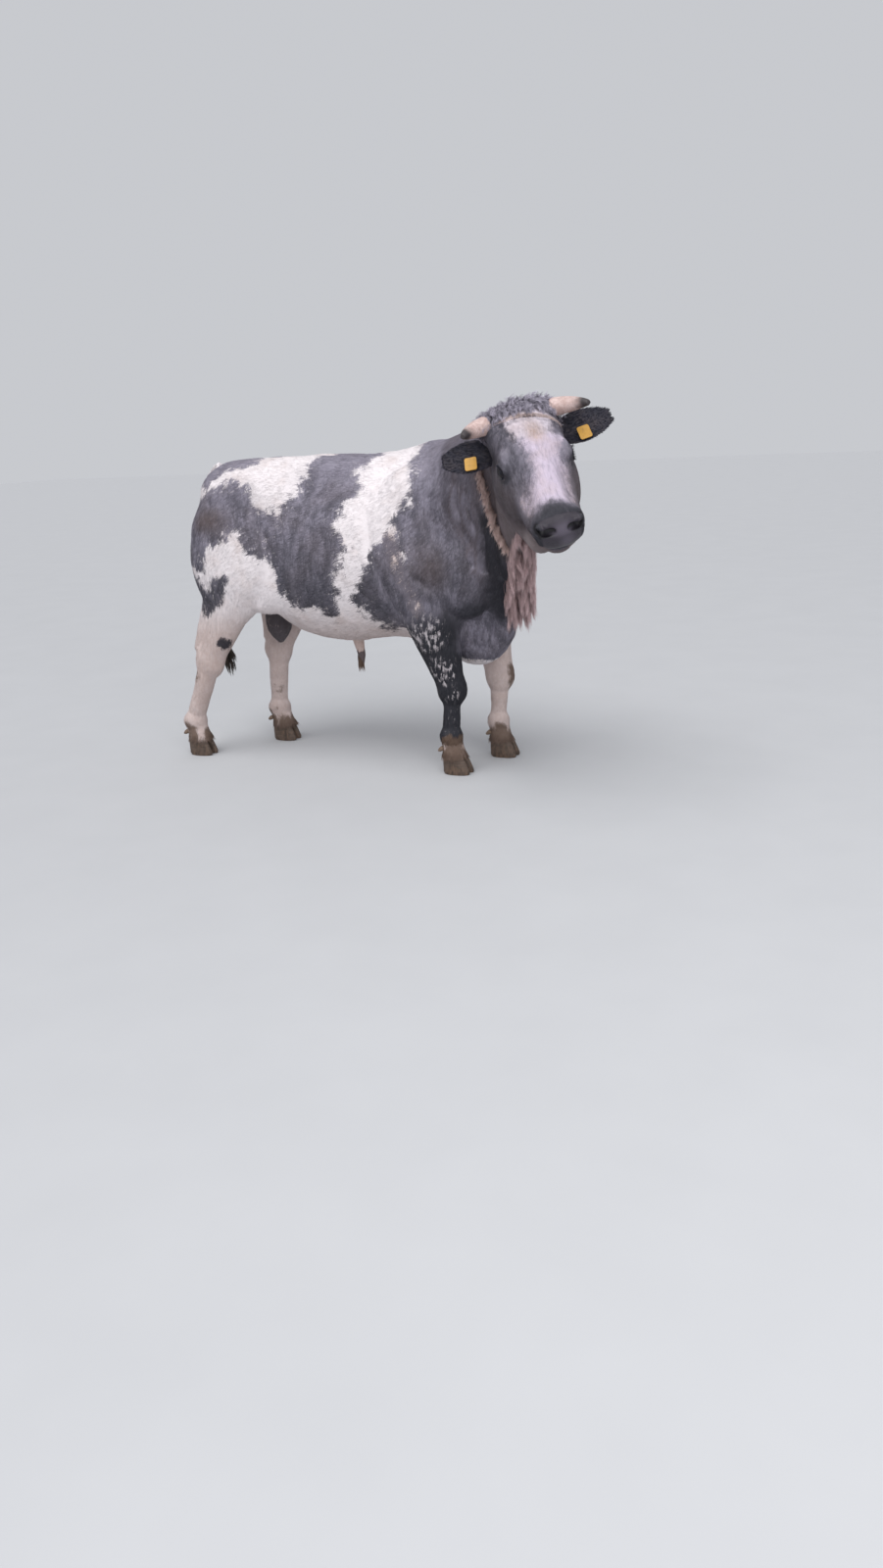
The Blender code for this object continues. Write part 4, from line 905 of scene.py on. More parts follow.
class Finish:
    """One material and the nodes that make it."""

    def __init__(self, name):
        self.material = bpy.data.materials.new(name)
        self.material.use_nodes = True
        self.tree = self.material.node_tree
        self.shader = self.tree.nodes["Principled BSDF"]

    def node(self, kind, settings=None, inputs=(), output=0):
        made = self.tree.nodes.new(kind)
        for name, value in (settings or {}).items():
            setattr(made, name, value)
        pairs = inputs.items() if isinstance(inputs, dict) else enumerate(inputs)
        for slot, value in pairs:
            self.feed(made.inputs[slot], value)
        return Value(self, made.outputs[output])

    def feed(self, socket, value):
        if isinstance(value, Value):
            self.tree.links.new(value.socket, socket)
        elif value is not None:
            socket.default_value = value

    def place(self):
        return self.node("ShaderNodeTexCoord", output="Object")

    def read(self, name, output="Fac"):
        return self.node("ShaderNodeAttribute", {"attribute_name": name}, output=output)

    def parts(self, value, kind="XYZ"):
        """The three numbers of a vector, or of a colour."""
        first = self.node("ShaderNodeSeparate" + kind, {}, (value,))
        return [Value(self, socket) for socket in first.socket.node.outputs]

    def vector(self, operation, first, second, output=0):
        return self.node("ShaderNodeVectorMath", {"operation": operation}, (first, second), output)

    def noise(self, place, scale, detail=3.0, rough=0.55, stretch=None):
        if stretch:
            place = self.vector("MULTIPLY", place, stretch)
        return self.node("ShaderNodeTexNoise", {"noise_dimensions": "3D"},
                         {"Vector": place, "Scale": scale, "Detail": detail, "Roughness": rough})

    def mix(self, share, first, second, blend="MIX"):
        first = (*first, 1) if isinstance(first, tuple) else first
        second = (*second, 1) if isinstance(second, tuple) else second
        return self.node("ShaderNodeMix", {"data_type": "RGBA", "blend_type": blend},
                         {0: share, 6: first, 7: second}, output=2)

    def layered(self, colour, *layers):
        """The colour under layers of share and colour."""
        for share, over in layers:
            colour = self.mix(share, colour, over)
        return colour

    def bump(self, height, strength, distance):
        return self.node("ShaderNodeBump", {}, {"Strength": strength, "Distance": distance,
                                                "Height": height}, output="Normal")

    def finish(self, **sockets):
        for name, value in sockets.items():
            self.feed(self.shader.inputs[name.replace("_", " ")], value)
        return self.material


WHITE_HAIR = (0.8, 0.74, 0.755)
FACE_WHITE = (0.57, 0.49, 0.59)
FACE_GREY = (0.3, 0.265, 0.335)
# Darker than the cream hair itself, so that the cream also paints the shade on the low legs
CREAM_HAIR = (0.47, 0.345, 0.3)
ROAN_HAIR = (0.086, 0.08, 0.102)
PALE_ROAN = (0.25, 0.23, 0.285)
BROWN_ROAN = (0.092, 0.064, 0.06)
GREY_HAIR = (0.25, 0.205, 0.208)
BLACK_HAIR = (0.018, 0.018, 0.025)
MUD = (0.115, 0.071, 0.048)
NOSE_SLATE = (0.026, 0.02, 0.031)
NOSE_PALE = (0.092, 0.077, 0.106)
BARE_PINK = (0.4, 0.24, 0.21)


def hide_colour(finish, place):
    """The colour that skin and coat share, from the markings and a place in the bull's space."""
    mark = finish.read("mark")
    tone = finish.read("tone", "Color")
    black, warm, dirt = finish.parts(tone, "Color")
    bare = finish.read("tone", "Alpha")
    soft, hollow_shade_and_lids, pale = finish.parts(finish.read("fine", "Vector"))
    ragged = (finish.noise(place, 17, 2, 0.6, (1, 1, 0.7)) - 0.5) * 0.15 * (1 - soft * 0.8)
    fine = (finish.noise(place, 60, 3, 0.65, (1.0, 1.0, 0.55)) - 0.5) * 0.1 * (1 - soft * 0.45)
    hairs = (finish.noise(place, 330, 2, 0.6, (1, 1, 0.6)) - 0.5) * 0.05 * (1 + soft * 0.5)
    inside = mark + ragged + fine + hairs
    dark = inside.between(soft * -0.022 - 0.006, soft * 0.03 + 0.01)
    fleck = finish.noise(place, 95, 2, 0.6, (1, 1, 0.6)).between(0.6, 0.7)
    fleck = fleck * (1 - inside.between(0.0, 0.075))
    dark = dark * (1 - fleck * 0.85 * (1 - soft * 0.8))
    mottle = finish.noise(place, 26, 4, 0.7, (1, 1, 0.3)) * 0.6
    mottle = mottle + finish.noise(place, 150, 3, 0.7, (1, 1, 0.3)) * 0.4
    ahead = finish.node("ShaderNodeMapping", {"vector_type": "TEXTURE"},
                        {"Vector": place, "Rotation": tuple(HEAD.to_euler()), "Scale": (4.0, 1.0, 1.0)})
    streaks = finish.noise(ahead, 110, 3, 0.65).between(0.44, 0.68)
    # Pale carries the roan's own paler hair, and also the painted light on top of the trunk and on the neck's
    # folds.
    roan = finish.layered(
        ROAN_HAIR, ((mottle + pale * 0.12).between(0.41, 0.63), PALE_ROAN),
        (streaks * soft.between(0.2, 0.5) * 0.45, PALE_ROAN),
        (finish.noise(place, 6, 2).between(0.42, 0.7) * 0.22, BROWN_ROAN),
        (warm * 0.85, BROWN_ROAN), (black * -0.9, GREY_HAIR), (pale * 0.5, PALE_ROAN))
    speck = finish.noise(place, 60, 3, 0.65, (1, 1, 0.6)) + pale * 0.1
    speck = speck.between(0.6, 0.65) * pale.between(0.05, 0.5) * (1 - soft)
    roan = finish.mix(black, roan, finish.mix(speck * black, BLACK_HAIR, (0.55, 0.5, 0.52)))
    freckles = 1.0 - finish.noise(place, 85, 3, 0.65).between(0.4, 0.6) * (0.12 + soft * 0.45)
    face = finish.mix((streaks * 0.55 + pale * 0.6) * soft, FACE_WHITE, FACE_GREY)
    mud = dirt + (finish.noise(place, 20, 4, 0.65) - 0.5) * 1.9
    # The last layer is painted shade, near black, in the hollows, together with the lids' own dark skin.
    colour = finish.layered(
        WHITE_HAIR, (soft.between(0.25, 0.6), face), (warm * 0.9 * freckles, CREAM_HAIR),
        (finish.noise(place, 9, 3).between(0.45, 0.75) * 0.35, CREAM_HAIR), (dark, roan),
        ((mud * dirt.between(0.0, 0.15)).between(0.25, 0.65) * 0.9, MUD),
        (hollow_shade_and_lids * 0.9, (0.006, 0.005, 0.006)))
    return colour, bare, warm, black, hollow_shade_and_lids, pale


def skin_finish():
    """Bare skin at the nose and eyes, and short flat hair everywhere else, as bump."""
    finish = Finish("hide")
    place = finish.place()
    colour, bare, warm, black, hollow_shade_and_lids, pale = hide_colour(finish, place)
    # On the bare muzzle, pale gives the painted highlight on its top.
    naked = finish.mix(warm * (1 - black), finish.mix(pale, NOSE_SLATE, NOSE_PALE), BARE_PINK)
    colour = finish.mix(bare.between(0.3, 0.6) * (1 - hollow_shade_and_lids), colour, naked)
    hair = finish.noise(place, 210, 3, 0.6, (0.5, 1, 0.5)) + finish.noise(place, 480, 2, 0.6) * 0.5
    cells = finish.node("ShaderNodeTexVoronoi", {"feature": "DISTANCE_TO_EDGE"},
                        {"Vector": place, "Scale": 270.0})
    pebbles = cells.between(0.0, 0.25) * 0.6 * (1 - hollow_shade_and_lids)
    height = hair * (1 - bare) + pebbles * bare
    return finish.finish(Base_Color=colour, Roughness=0.78 - bare.between(0.4, 0.8) * 0.4,
                         Normal=finish.bump(height, 0.5, 0.002), Specular_IOR_Level=0.5)


def coat_finish(name):
    """Hair in tufts: the hide's colour at each root, darker at the root and lighter at the tip."""
    finish = Finish(name)
    root = finish.read("root", "Vector")
    colour, *_ = hide_colour(finish, root)
    share = finish.read("reach")
    shade = 0.86 + share * 0.2 + (finish.read("own") - 0.5) * 0.16
    colour = finish.mix(1.0, colour, finish.node("ShaderNodeCombineColor", {}, (shade, shade, shade)),
                        "MULTIPLY")
    return finish.finish(Base_Color=colour, Roughness=0.72, Specular_IOR_Level=0.3)


# The skin

def skin():
    """One skin over all the flesh, inside the solids by the coat's depth, with its folds and lids."""
    made = copied("skin", *FLESH, "right_eye", "left_eye")
    move_vertices(made.data, vertex_places(made.data) + vertex_normals(made.data) * SWOLLEN)
    remesh = made.modifiers.new("one skin", "REMESH")
    remesh.mode = "VOXEL"
    remesh.voxel_size = SKIN_GRAIN
    smooth = made.modifiers.new("soft", "SMOOTH")
    smooth.iterations = 3
    smooth.factor = 0.5
    apply_modifiers(made)
    mesh = made.data
    masses = flesh_masses()
    places = on_bull(vertex_places(mesh))
    part = regions(places)
    fleshy = ~np.isin(part, HAIRY_ENDS) & (places[:, 2] > HOOF_TOP)
    for turn in range(3):
        away = depth_in_flesh(places, masses) + coat_depth(places, part)
        if turn == 0:
            fleshy &= np.abs(away) < NEAR_FLESH
        step = np.where(fleshy, np.clip(away, -LONGEST_STEP, LONGEST_STEP), 0)
        places = places - vertex_normals(mesh) * step[:, None]
        move_vertices(mesh, placed_on_bull(places))
    out = relief(places, part)
    # Painted shade: the deeper grooves on the muzzle, marked so that their colour is darkened.
    write_values(mesh, "hollow", ease(-out, 0.004, 0.008) * (on_head(places)[:, 0] > 0.47))
    places = places + vertex_normals(mesh) * out[:, None]
    places = open_eyes(places)
    move_vertices(mesh, placed_on_bull(places))
    fewer = made.modifiers.new("fewer", "DECIMATE")
    fewer.ratio = min(1, SKIN_FACES / (2 * len(mesh.polygons)))
    if fewer.ratio < 1:
        keep = made.vertex_groups.new(name="body")
        face = ease(on_head(places)[:, 0], 0.05, 0.15) * (part == "head")
        keep.add(np.flatnonzero(face < 0.5).tolist(), 1.0, "REPLACE")
        keep.add(np.flatnonzero(face >= 0.5).tolist(), 0.12, "REPLACE")
        fewer.vertex_group = "body"
        fewer.vertex_group_factor = 1.0
    apply_modifiers(made)
    made.vertex_groups.clear()
    made.data.shade_smooth()
    places = on_bull(vertex_places(made.data))
    mark, tone, fine = markings(places, regions(places))
    fine[:, 1:2] = above(fine[:, 1:2], numbers_of(made.data.attributes["hollow"].data, "value", 1))
    for name, values in (("mark", mark), ("tone", tone), ("fine", fine)):
        write_values(made.data, name, values)
    return dressed(made, skin_finish(), *FLESH)


def eye_axes(side):
    """The eye's middle on the bull, and the ways that it looks, along its lids and up across them."""
    centre = np.array(HEAD @ (eye_place(side) * HEAD_SIZE))
    look = HEAD_TURNED @ np.array(eye_look(side))
    along = unit(np.cross(np.cross(look, HEAD_TURNED @ np.array((1, 0, -0.35))), look))
    return centre, look, along, unit(np.cross(along, look)) * side


def open_eyes(places):
    """Presses the skin in between the lids, and raises the lids' edges round the opening."""
    for side in SIDES.values():
        centre, look, along, up = eye_axes(side)
        offset = places - centre
        near = np.flatnonzero((length_of(offset) < 0.06) & (offset @ look > 0))
        aside, above_middle = (offset @ along)[near], (offset @ up)[near]
        narrow = 1.15 - np.abs(aside) * 15
        reach = np.hypot(aside / LID_HALF_LENGTH, above_middle / (LID_HALF_HEIGHT * narrow))
        hood = 1 + 0.9 * ease(above_middle, 0.002, 0.01)
        rim = bell(reach, 1.25, 0.26) * hood
        height = offset[near] @ look
        pressed = np.maximum(0, height - (EYE_RADIUS - 0.012)) * fade(reach, 0.8, 1.05)
        target = height - pressed + rim * 0.0026
        places[near] += (target - height)[:, None] * look
    return places


# Hair

class Ground:
    """The skin as a ground that hair grows from."""

    def __init__(self, made, part=None):
        mesh = made.data
        self.places = on_bull(vertex_places(mesh))
        self.normals = vertex_normals(mesh)
        mesh.calc_loop_triangles()
        self.faces = numbers_of(mesh.loop_triangles, "vertices", kind=np.int32)
        sides = self.places[self.faces]
        self.middles = sides.mean(1)
        self.sizes = length_of(np.cross(sides[:, 1] - sides[:, 0], sides[:, 2] - sides[:, 0])) / 2
        self.part = regions(self.middles) if part is None else np.full(len(self.faces), part)

    def roots(self, count, wanted):
        """That many random places on the skin, more of them where wanted is larger."""
        odds = np.cumsum(self.sizes * wanted)
        chosen = np.searchsorted(odds, CHANCE.random(count) * odds[-1])
        first, second = CHANCE.random(count), CHANCE.random(count)
        flip = first + second > 1
        first[flip], second[flip] = 1 - first[flip], 1 - second[flip]
        shares = np.stack([1 - first - second, first, second], 1)[:, :, None]
        corners = self.faces[chosen]
        places = (self.places[corners] * shares).sum(1)
        normals = unit((self.normals[corners] * shares).sum(1))
        return places, normals, self.part[chosen]

    @functools.cached_property
    def tree(self):
        return BVHTree.FromPolygons([Vector(place) for place in self.places], self.faces.tolist())

    def nearest(self, points):
        """The skin's nearest place to each point, and the way out there."""
        hits = [self.tree.find_nearest(Vector(point)) for point in points]
        return np.array([hit[0] for hit in hits]), np.array([hit[1] for hit in hits])


def hair_mesh(name, paths, widths, thick, outs, roots, part, spread=None):
    """Tapered three-sided hairs or tufts as one mesh, along paths of hairs x rings x 3 that end in a tip."""
    sides = 3
    count, rings, _ = paths.shape
    spread = unwrap(roots, part) if spread is None else spread
    across = unit(np.cross(np.gradient(paths, axis=1), outs[:, None, :]))
    up = unit(np.cross(across, np.gradient(paths, axis=1)))
    angles = (math.tau * np.arange(sides) / sides + math.pi / 2)[None, None, :, None]
    wide = widths[:, :-1, None, None] / 2
    ring = paths[:, :-1, None] + across[:, :-1, None] * np.cos(angles) * wide
    ring = ring + up[:, :-1, None] * np.sin(angles) * wide * thick
    places = np.concatenate([ring.reshape(count, (rings - 1) * sides, 3), paths[:, -1:]], 1)
    each = places.shape[1]
    base = (np.arange(count) * each)[:, None, None]
    after = [(side + 1) % sides for side in range(sides)]
    quads = [(low + side, low + sides + side, low + sides + after[side], low + after[side])
             for low in range(0, (rings - 2) * sides, sides) for side in range(sides)]
    last = (rings - 2) * sides
    tips = [(last + side, each - 1, last + after[side]) for side in range(sides)]
    faces = [(np.array(group)[None] + base).reshape(-1, len(group[0]))
             for group in (quads, tips, [tuple(range(sides))]) if group]
    made = mesh_object(name, placed_on_bull(places.reshape(-1, 3)), faces)
    mesh = made.data
    reach = np.concatenate([np.repeat(np.arange(rings - 1) / (rings - 1), sides), [1.0]])
    write_values(mesh, "reach", np.tile(reach, count))
    mark, tone, fine = markings(roots, part)
    for field, values in (("own", CHANCE.random(count)), ("mark", mark), ("tone", tone), ("fine", fine),
                          ("root", placed_on_bull(roots))):
        write_values(mesh, field, np.repeat(values, each, axis=0))
    aside = np.concatenate([np.tile(np.arange(sides) / sides, rings - 1), [0.5]])
    patch = np.stack([aside, reach], 1) * HAIR_PATCH
    laid = np.repeat(spread, each, axis=0) + np.tile(patch, (count, 1))
    corners = numbers_of(mesh.loops, "vertex_index", 1, np.int32)[:, 0]
    mesh.uv_layers.new(name="OFBake").data.foreach_set("uv", laid[corners].astype(np.float32).ravel())
    return made


def hair_piece(name, paths, widths, thick, outs, roots, part, finish, *replaced, spread=None):
    """Hairs along the paths, each of a width between the two, as one piece in its finish."""
    count, rings, _ = paths.shape
    widths = tapering(CHANCE.uniform(*widths, count), rings)
    part = np.full(count, part) if isinstance(part, str) else part
    made = hair_mesh(name, paths, widths, thick, outs, roots, part, spread)
    return dressed(made, FINISHES[finish], *replaced)


def lock_piece(name, paths, each, wide, gather, widths, outs, roots, part, finish, *replaced):
    """Locks of hair along the paths, each filled with that many hairs, as one piece."""
    hairs, many = locks_of_hair(paths, each, wide, gather)
    part = part if isinstance(part, str) else part[many]
    return hair_piece(name, hairs, widths, 0.6, outs[many], roots[many], part, finish, *replaced)


def along_route(route, steps):
    """The places that many steps along the route."""
    return np.stack([np.interp(steps, np.arange(len(route)), line) for line in np.array(route).T], 1)


def combed(places, normals, part):
    """The coat's lie at each root, flat on the skin, with a little disorder."""
    lie = unit(flattened(hand_lie(places, part), normals))
    return unit(flattened(lie + CHANCE.normal(0, 0.16, lie.shape), normals))


def coat(ground, name, wanted, count, size, lift, wave=0.0):
    """One piece of the coat: short tufts that lie along the body and cover each other."""
    count = int(count * COAT_SHARE)
    places, normals, part = ground.roots(count, wanted)
    lie = combed(places, normals, part)
    grown = CHANCE.uniform(0.65, 1.25, count)
    length, width = size[0] * grown, size[1] * CHANCE.uniform(0.7, 1.2, count)
    line = [places - normals * ROOT_DEPTH, places + lie * length[:, None] + normals * lift]
    wide = [width, width * 0]
    if wave:
        curl = CHANCE.normal(0, 0.12 + wave, count)[:, None] * length[:, None]
        aside = np.cross(normals, lie)
        line.insert(1, places + lie * (length * 0.5)[:, None] + normals * lift + aside * curl * 0.3)
        line[2] = line[2] + aside * curl
        wide.insert(1, width * 0.85)
    made = hair_mesh(name, np.stack(line, 1), np.stack(wide, 1), 0.35, normals, places, part)
    soft = np.repeat(normals, 3 * len(line) - 2, axis=0) + vertex_normals(made.data) * 0.35
    made.data.normals_split_custom_set_from_vertices(unit(soft))
    return dressed(made, FINISHES["coat"])


def body_coat(ground):
    """The short coat over the whole bull, in pieces of one region each."""
    part, middles = ground.part, ground.middles
    x, y, z = middles.T
    place = on_head(middles)
    torso = part == "torso"
    haired = (part == "head") * (markings(middles, part)[1][:, 3] < 0.2)
    face = haired * (place[:, 0] > 0.06) * (1 + 2 * (place[:, 2] > -0.2))
    # Each piece's name, where it grows, how many tufts, their length and width, lift and wave
    for piece in (
            ("coat_right_barrel", torso & (y < 0) & (z < 1.25), 25000, (0.024, 0.0036), 0.0018),
            ("coat_left_barrel", torso & (y >= 0) & (z < 1.25), 20000, (0.024, 0.0036), 0.0018),
            ("coat_back", torso & (z >= 1.22), 20000, (0.022, 0.0034), 0.0018),
            ("coat_neck", part == "neck", 25000, (0.028, 0.0034), 0.0026),
            ("coat_forelegs", part == "foreleg", 20000, (0.015, 0.0025), 0.0014),
            ("coat_hindlegs", part == "hindleg", 20000, (0.015, 0.0025), 0.0014),
            ("coronet_hair", np.isin(part, LEGS) & (z < 0.104), 6000, (0.026, 0.003), 0.006),
            ("coat_face", face, 34000, (0.01, 0.0019), 0.001),
            ("coat_forehead", haired * (place[:, 0] < 0.16), 6500, (0.015, 0.002), 0.002, 0.06),
            ("coat_tail", part == "tail", 4000, (0.022, 0.004), 0.003)):
        coat(ground, *piece)


def long_hair_finish(name, root_colour, tip_colour):
    """Long hair, darker at its root, each hair a little different."""
    finish = Finish(name)
    share = finish.read("reach")
    own = finish.read("own")
    lock = finish.noise(finish.read("root", "Vector"), 60, 2)
    colour = finish.mix(share * 0.7 + (own - 0.5) * 0.5 + (lock - 0.5) * 1.2, root_colour, tip_colour)
    return finish.finish(Base_Color=colour, Roughness=0.6, Specular_IOR_Level=0.35)


def hair_paths(roots, ways, outs, length, rings, sway=0.0, lift=0.0, droop=0.0, curl=0.0, turns=1.0):
    """Lines of hairs: each leaves its root along its way, lifts, sways, curls and droops."""
    count = len(roots)
    share = np.linspace(0, 1, rings)[None, :, None]
    length, sway, lift, droop, curl, turns = (
        np.broadcast_to(value, count)[:, None, None] for value in (length, sway, lift, droop, curl, turns))
    ways = unit(ways)[:, None]
    asides = unit(np.cross(ways, outs[:, None]))
    outs = unit(np.cross(asides, ways))
    phase = CHANCE.uniform(0, math.tau, count)[:, None, None] + math.tau * turns * share
    paths = roots[:, None] + ways * length * share + asides * sway * share ** 2
    paths = paths + outs * (lift * np.sin(math.pi * share * 0.75) - droop * share ** 2)
    bend = curl * np.minimum(1, share * 3)
    paths = paths + asides * bend * np.cos(phase) + outs * bend * (1 + np.sin(phase))
    return paths


def tapering(width, rings, full=0.55):
    share = np.linspace(0, 1, rings)[None]
    return width[:, None] * np.where(share < full, 0.75 + 0.25 * share / full,
                                     np.sqrt(np.maximum(0, 1 - (share - full) / (1 - full))))


def locks_of_hair(paths, each, wide, gather=0.3, frizz=0.0008):
    """Fills each lock with hairs that follow it and draw together towards its tip."""
    many = np.repeat(np.arange(len(paths)), max(2, int(each * COAT_SHARE)))
    share = np.linspace(0, 1, paths.shape[1])[None, :, None]
    spread = CHANCE.normal(0, wide, (len(many), 1, 3))
    root = paths[many, :1]
    grown = CHANCE.uniform(0.75, 1.08, (len(many), 1, 1))
    hairs = root + (paths[many] - root) * grown + spread * (1 - share * (1 - gather))
    return hairs + np.cumsum(CHANCE.normal(0, frizz, hairs.shape), 1) * share, many


def poll_curls(ground):
    """The mop between the horns, in wavy locks that fall forwards and outwards over the forehead."""
    x, y, z = on_head(ground.middles).T
    wanted = np.isin(ground.part, ("head", "neck")) & (x < 0.04 + 0.15 * y) & (x > -0.075)
    wanted = wanted & (z > -0.135) & (np.abs(y) < 0.135) & (np.abs(y) < 0.135 - 0.5 * np.maximum(0, x))
    locks = 300
    for name, side in SIDES.items():
        own_side = wanted * (y * side > -0.004) * (0.6 + ease(-x, -0.05, 0.03))
        roots, normals, part = ground.roots(locks, own_side)
        stand = on_head(roots)
        front = ease(stand[:, 0], -0.04, 0.03)
        way = np.stack([front * 1.5 - 0.45 + CHANCE.normal(0, 0.25, locks),
                        stand[:, 1] * 7 + CHANCE.normal(0, 0.45, locks),
                        0.25 + CHANCE.normal(0, 0.25, locks)], 1) @ HEAD_TURNED.T
        way = flattened(way, normals, 0.85)
        length = CHANCE.uniform(0.04, 0.066, locks) * (1 - 0.45 * ease(stand[:, 0], 0.02, 0.06))
        paths = hair_paths(roots - normals * 0.002, way, normals, length, 7, CHANCE.normal(0, 0.012, locks),
                           CHANCE.uniform(0.007, 0.019, locks), CHANCE.uniform(0.006, 0.022, locks),
                           CHANCE.uniform(0.003, 0.0065, locks), CHANCE.uniform(0.7, 1.5, locks))
        lock_piece(name + "_poll_curls", paths, 14, 0.0042, 0.4, (0.001, 0.002), normals, roots, part,
                   "poll", *(["poll_hair"] if side < 0 else []))


# The fold under the throat that the dewlap's hair hangs from: its route and half widths
THROAT_FOLD = np.array(mm(1000, -490, 1155, 975, -455, 1100, 940, -390, 1040, 905, -320, 985, 880, -265,
                          930, 860, -220, 870, 845, -190, 820, 835, -175, 785))
THROAT_WIDTHS = np.array([0.01, 0.022, 0.032, 0.042, 0.046, 0.044, 0.036, 0.012])


def dewlap_core(across, up):
    """The matted inside of the dewlap's hair, one closed fold under the throat."""
    rings = []
    for angle in (math.tau * step / 16 for step in range(16)):
        ring = THROAT_FOLD + across * THROAT_WIDTHS[:, None] * math.cos(angle)
        rings.append(ring + up * THROAT_WIDTHS[:, None] * math.sin(angle) * 1.1)
    made = loft("dewlap_core", np.stack(rings, 1))
    count = len(made.data.vertices)
    for field, values in (("reach", np.full(count, 0.15)), ("own", np.full(count, 0.4)),
                          ("root", vertex_places(made.data))):
        write_values(made.data, field, values)
    dressed(rounded(made), FINISHES["throat"])


def dewlap():
    """The long matted hair that hangs from the fold under the throat, in wavy locks."""
    across = unit(np.cross(unit(np.gradient(THROAT_FOLD, axis=0)), (0, 0, 1)))
    up = np.cross(across, unit(np.gradient(THROAT_FOLD, axis=0)))
    dewlap_core(across, up)
    locks = 96
    share = CHANCE.uniform(0.0, 1, locks)
    place = share * (len(THROAT_FOLD) - 1)
    base = along_route(THROAT_FOLD, place)
    broad = np.interp(place, np.arange(len(THROAT_FOLD)), THROAT_WIDTHS)
    side = along_route(across, place)
    angle = CHANCE.uniform(-0.55 * math.pi, 1.55 * math.pi, locks)
    angle = np.where(np.sin(angle) > 0.75, angle + math.pi, angle)
    out = unit(side * np.cos(angle)[:, None] + np.array((0.45, -0.5, 0)) * np.sin(angle)[:, None] * -0.9)
    roots = base + out * broad[:, None] * 0.85
    length = 0.085 + 0.05 * ease(share, 0.1, 0.7) + CHANCE.normal(0, 0.008, locks)
    way = np.array((0.0, 0.02, -1.0)) + out * 0.15 + CHANCE.normal(0, 0.05, (locks, 3))
    paths = hair_paths(roots, way, out, length, 7, CHANCE.normal(0, 0.01, locks), 0.006, 0.004,
                       CHANCE.uniform(0.0015, 0.0045, locks), CHANCE.uniform(0.9, 2.0, locks))
    lock_piece("dewlap_hair", paths, 46, 0.0075, 0.35, (0.001, 0.0022), out, roots, "neck", "throat",
               "dewlap")


FRILL = np.array(mm(795, -440, 1325, 810, -435, 1250, 820, -420, 1180, 840, -410, 1110, 860, -400, 1060,
                    885, -400, 1020))


def throat_frill(ground):
    """The ragged wavy fringe down each side of the throat, from under the ear to the dewlap."""
    mirrored = on_head(FRILL) * (1, -1, 1) * HEAD_SIZE @ HEAD_TURNED.T + np.array(POLL)
    locks = 170
    for name, route in (("right", FRILL), ("left", mirrored)):
        place = CHANCE.uniform(0, len(route) - 1, locks)
        line = along_route(route, place)
        roots, normals = ground.nearest(line + CHANCE.normal(0, 0.0065, line.shape))
        wave = np.sin(place * 9) * 0.5
        forward = HEAD_TURNED @ np.array((0.75, 0, 0.35))
        way = normals * 0.55 + np.array((0, 0, -0.9)) + forward * (0.35 + wave[:, None] * 0.5)
        way = way + CHANCE.normal(0, 0.18, way.shape)
        paths = hair_paths(roots - normals * 0.002, way, normals, CHANCE.uniform(0.018, 0.052, locks), 6,
                           CHANCE.normal(0, 0.005, locks), 0.004, 0.002, CHANCE.uniform(0.001, 0.003, locks),
                           CHANCE.uniform(0.6, 1.4, locks))
        lock_piece(name + "_throat_frill", paths, 14, 0.0042, 0.3, (0.0009, 0.0017), normals, roots, "neck",
                   "frill")


def round_about(angle):
    """Level ways out at those angles."""
    return np.stack([np.cos(angle), np.sin(angle), 0 * angle], 1)


def upwards(heights):
    return np.stack([0 * heights, 0 * heights, heights], 1)


def tail_switch():
    """The wet hair at the tail's end, in stringy locks."""
    locks = 13
    each = int(42 * COAT_SHARE) or 4
    out = round_about(math.tau * np.arange(locks) / locks + CHANCE.normal(0, 0.2, locks))
    lock_root = np.array(TAIL_ROUTE[-1]) + out * 0.008 + upwards(CHANCE.uniform(-0.05, 0.035, locks))
    length = np.minimum(CHANCE.uniform(0.13, 0.2, locks), lock_root[:, 2] - 0.335)
    way = np.array((0.13, -0.03, -1.0)) + out * CHANCE.uniform(0.03, 0.17, locks)[:, None]
    many = np.repeat(np.arange(locks), each)
    count = len(many)
    spread = CHANCE.normal(0, 0.0045, (count, 3))
    roots = lock_root[many] + spread
    tips = lock_root[many] + spread * 0.35 + unit(way)[many] * length[many][:, None]
    paths = hair_paths(roots, tips - roots, out[many], length[many] * CHANCE.uniform(0.8, 1.03, count), 11,
                       CHANCE.normal(0, 0.018, locks)[many], 0.006, 0.01,
                       CHANCE.uniform(0.0004, 0.0016, count), CHANCE.uniform(0.8, 2.4, count))
    hair_piece("switch_hair", paths, (0.0016, 0.003), 0.7, out[many], roots, "tail", "switch", "tail_switch")


def sheath_tuft():
    """The tuft at the end of the sheath."""
    count = int(260 * COAT_SHARE)
    out = round_about(CHANCE.uniform(0, math.tau, count))
    low, high = (on_bull(np.array(corner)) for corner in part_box("sheath"))
    foot = np.array(((low[0] + high[0]) / 2 + 0.004, (low[1] + high[1]) / 2, low[2]))
    roots = foot + out * 0.011 + upwards(CHANCE.uniform(0.01, 0.05, count))
    paths = hair_paths(roots, np.array((0.05, 0, -1.0)) + out * 0.05, out, CHANCE.uniform(0.03, 0.055, count),
                       7, CHANCE.normal(0, 0.004, count), 0.002, 0.004, CHANCE.uniform(0.0003, 0.001, count))
    hair_piece("sheath_hair", paths, (0.0016, 0.0028), 0.6, out, roots, "sheath", "navel")


